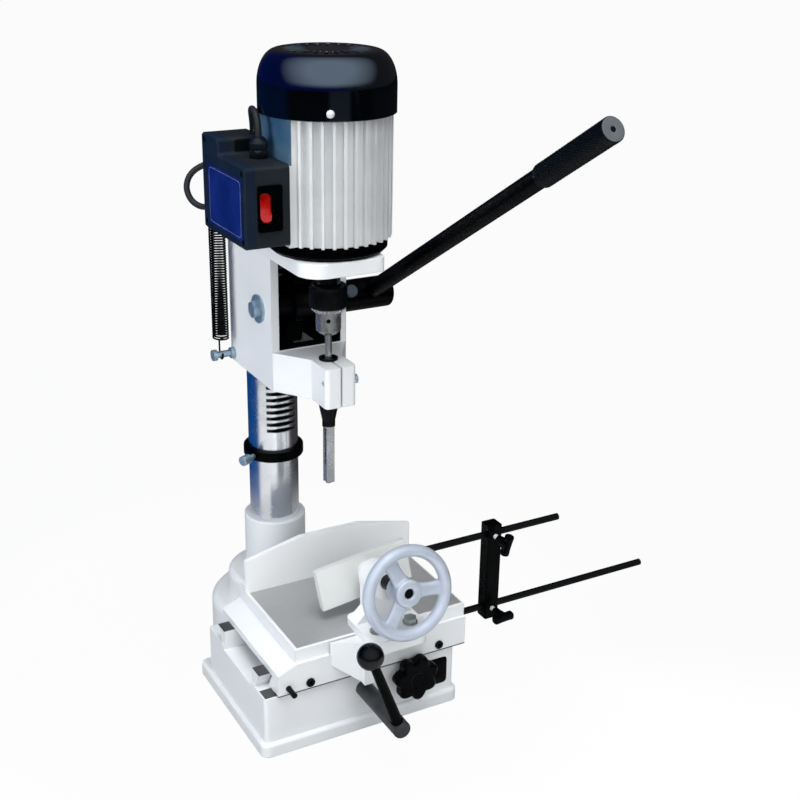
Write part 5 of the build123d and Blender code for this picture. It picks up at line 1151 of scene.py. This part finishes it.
front = ranged(tree, vectors(tree, "DOT_PRODUCT", outward, ROOM_FRONT)["Value"], *FRONT_SPREAD)
floor_colour = mixed(tree, front, surround, ahead)
floor_colour = mixed(tree, ranged(tree, reach, *BASE_EDGE), floor_colour, grey(0.40))
tree.links.new(floor_colour, floor_shader.inputs["Base Color"])
floor_shader.inputs["Roughness"].default_value = 0.9
floor_shader.inputs["Specular IOR Level"].default_value = 0.0
glow = add(tree, "ShaderNodeEmission", Color=rgb(1.0, 1.0, 1.0), Strength=1.0).outputs[0]
path = tree.nodes.new("ShaderNodeLightPath").outputs
share = maths(tree, "MULTIPLY", path["Is Camera Ray"], WHITE_SHARE)
blend = add(tree, "ShaderNodeMixShader", i0=share, i1=floor_shader.outputs[0], i2=glow)
tree.links.new(blend.outputs[0], tree.nodes["Material Output"].inputs["Surface"])
print("floor finish", floor_material.name)

# %% [markdown]
# The sheet itself is flat and much larger than the view.

# %% Floor sheet
FLOOR_HALF, FLOOR_STEPS = 12.0, 9


def floor_sheet():
    """A flat square grid at the machine's feet."""
    side = np.linspace(-FLOOR_HALF, FLOOR_HALF, FLOOR_STEPS)
    across, along = np.meshgrid(side, side, indexing="ij")
    return np.stack((across, along, np.zeros_like(across)), -1).reshape(-1, 3)


floor_mesh = bpy.data.meshes.new("floor")
floor_mesh.from_pydata(floor_sheet().tolist(), [], lattice(FLOOR_STEPS, FLOOR_STEPS)[:, ::-1].tolist())
floor_mesh.materials.append(floor_material)
floor = bpy.data.objects.new("floor", floor_mesh)
bpy.context.scene.collection.objects.link(floor)
print("floor faces", len(floor_mesh.polygons))

# %% [markdown]
# Four soft lamps light the machine: one overhead, a large one in front, a narrow beam on
# the head's left side and a weak one from behind on the right. Shiny faces mirror the room
# and none of the lamps, as in the photograph.

# %% Lamps
LAMP_AIM = (0.0, 0.0, 0.4)
HEAD_AIM = (0.0, 0.0, 0.9)


def lamp(name, spot, aim, size, power, colour, spread=180.0):
    """A soft square lamp at a spot, facing a point, with a beam of some degrees."""
    data = bpy.data.lights.new(name, "AREA")
    data.size = size
    data.energy = power
    data.color = colour
    data.spread = math.radians(spread)
    made = bpy.data.objects.new(name, data)
    made.visible_glossy = False
    back = unit(np.array(spot) - np.array(aim))
    right = unit(np.cross(Z_AXIS, back))
    stand(made, (right, np.cross(back, right), back), spot)


lamp("overhead", (-0.2, -0.65, 2.4), LAMP_AIM, 1.35, 47.0, (1.0, 0.99, 0.975))
lamp("front", (-0.3, -2.8, 1.6), LAMP_AIM, 2.6, 38.0, (1.0, 0.985, 0.96))
lamp("left", (-2.0, -0.2, 0.95), HEAD_AIM, 1.6, 8.2, (0.97, 0.99, 1.0), spread=66.0)
lamp("rim", (2.6, 1.3, 1.5), LAMP_AIM, 1.4, 12.0, (0.95, 0.97, 1.0))
print("lamps", len(bpy.data.lights))

# %% [markdown]
# Black gloss and bright metal show the room. A pale wall and ceiling fill the front and
# fade to the sides: dark blue at the back on the left, dark grey at the back on the right.
# Its strength is full for what mirrors it and less for the light it gives.

# %% Room
ROOM_WALL, WALL_SPREAD, WALL_FOOT = (-0.242, -0.663, 0.708), (0.20, 0.85), (0.04, 0.18)
WALL_PALE, WALL_LEFT = rgb(0.84, 0.92, 1.0), rgb(0.002, 0.012, 0.150)
ROOM_LIGHT = 0.45
world = bpy.data.worlds.new("studio")
world.use_nodes = True
bpy.context.scene.world = world
tree = world.node_tree
room = tree.nodes["Background"]
toward = tree.nodes.new("ShaderNodeTexCoord").outputs["Generated"]
toward_parts = add(tree, "ShaderNodeSeparateXYZ", Vector=toward).outputs
facing = vectors(tree, "DOT_PRODUCT", toward, ROOM_WALL)["Value"]
wall_share = maths(tree, "MULTIPLY", ranged(tree, facing, *WALL_SPREAD),
                   ranged(tree, toward_parts[2], *WALL_FOOT))
back_colour = mixed(tree, ranged(tree, toward_parts[0], *LEFT_TO_RIGHT), WALL_LEFT, BACK_RIGHT)
tree.links.new(mixed(tree, wall_share, back_colour, WALL_PALE), room.inputs["Color"])
path = tree.nodes.new("ShaderNodeLightPath").outputs
mirrored = maths(tree, "MULTIPLY", path["Is Glossy Ray"], 1.0 - ROOM_LIGHT)
tree.links.new(maths(tree, "ADD", mirrored, ROOM_LIGHT), room.inputs["Strength"])
shown = add(tree, "ShaderNodeBackground", Color=rgb(1.0, 1.0, 1.0), Strength=1.0)
blend = add(tree, "ShaderNodeMixShader", i0=path["Is Camera Ray"], i1=room.outputs[0],
            i2=shown.outputs[0])
tree.links.new(blend.outputs[0], tree.nodes["World Output"].inputs["Surface"])
bpy.context.scene.view_settings.view_transform = "Standard"
print("room", world.name)
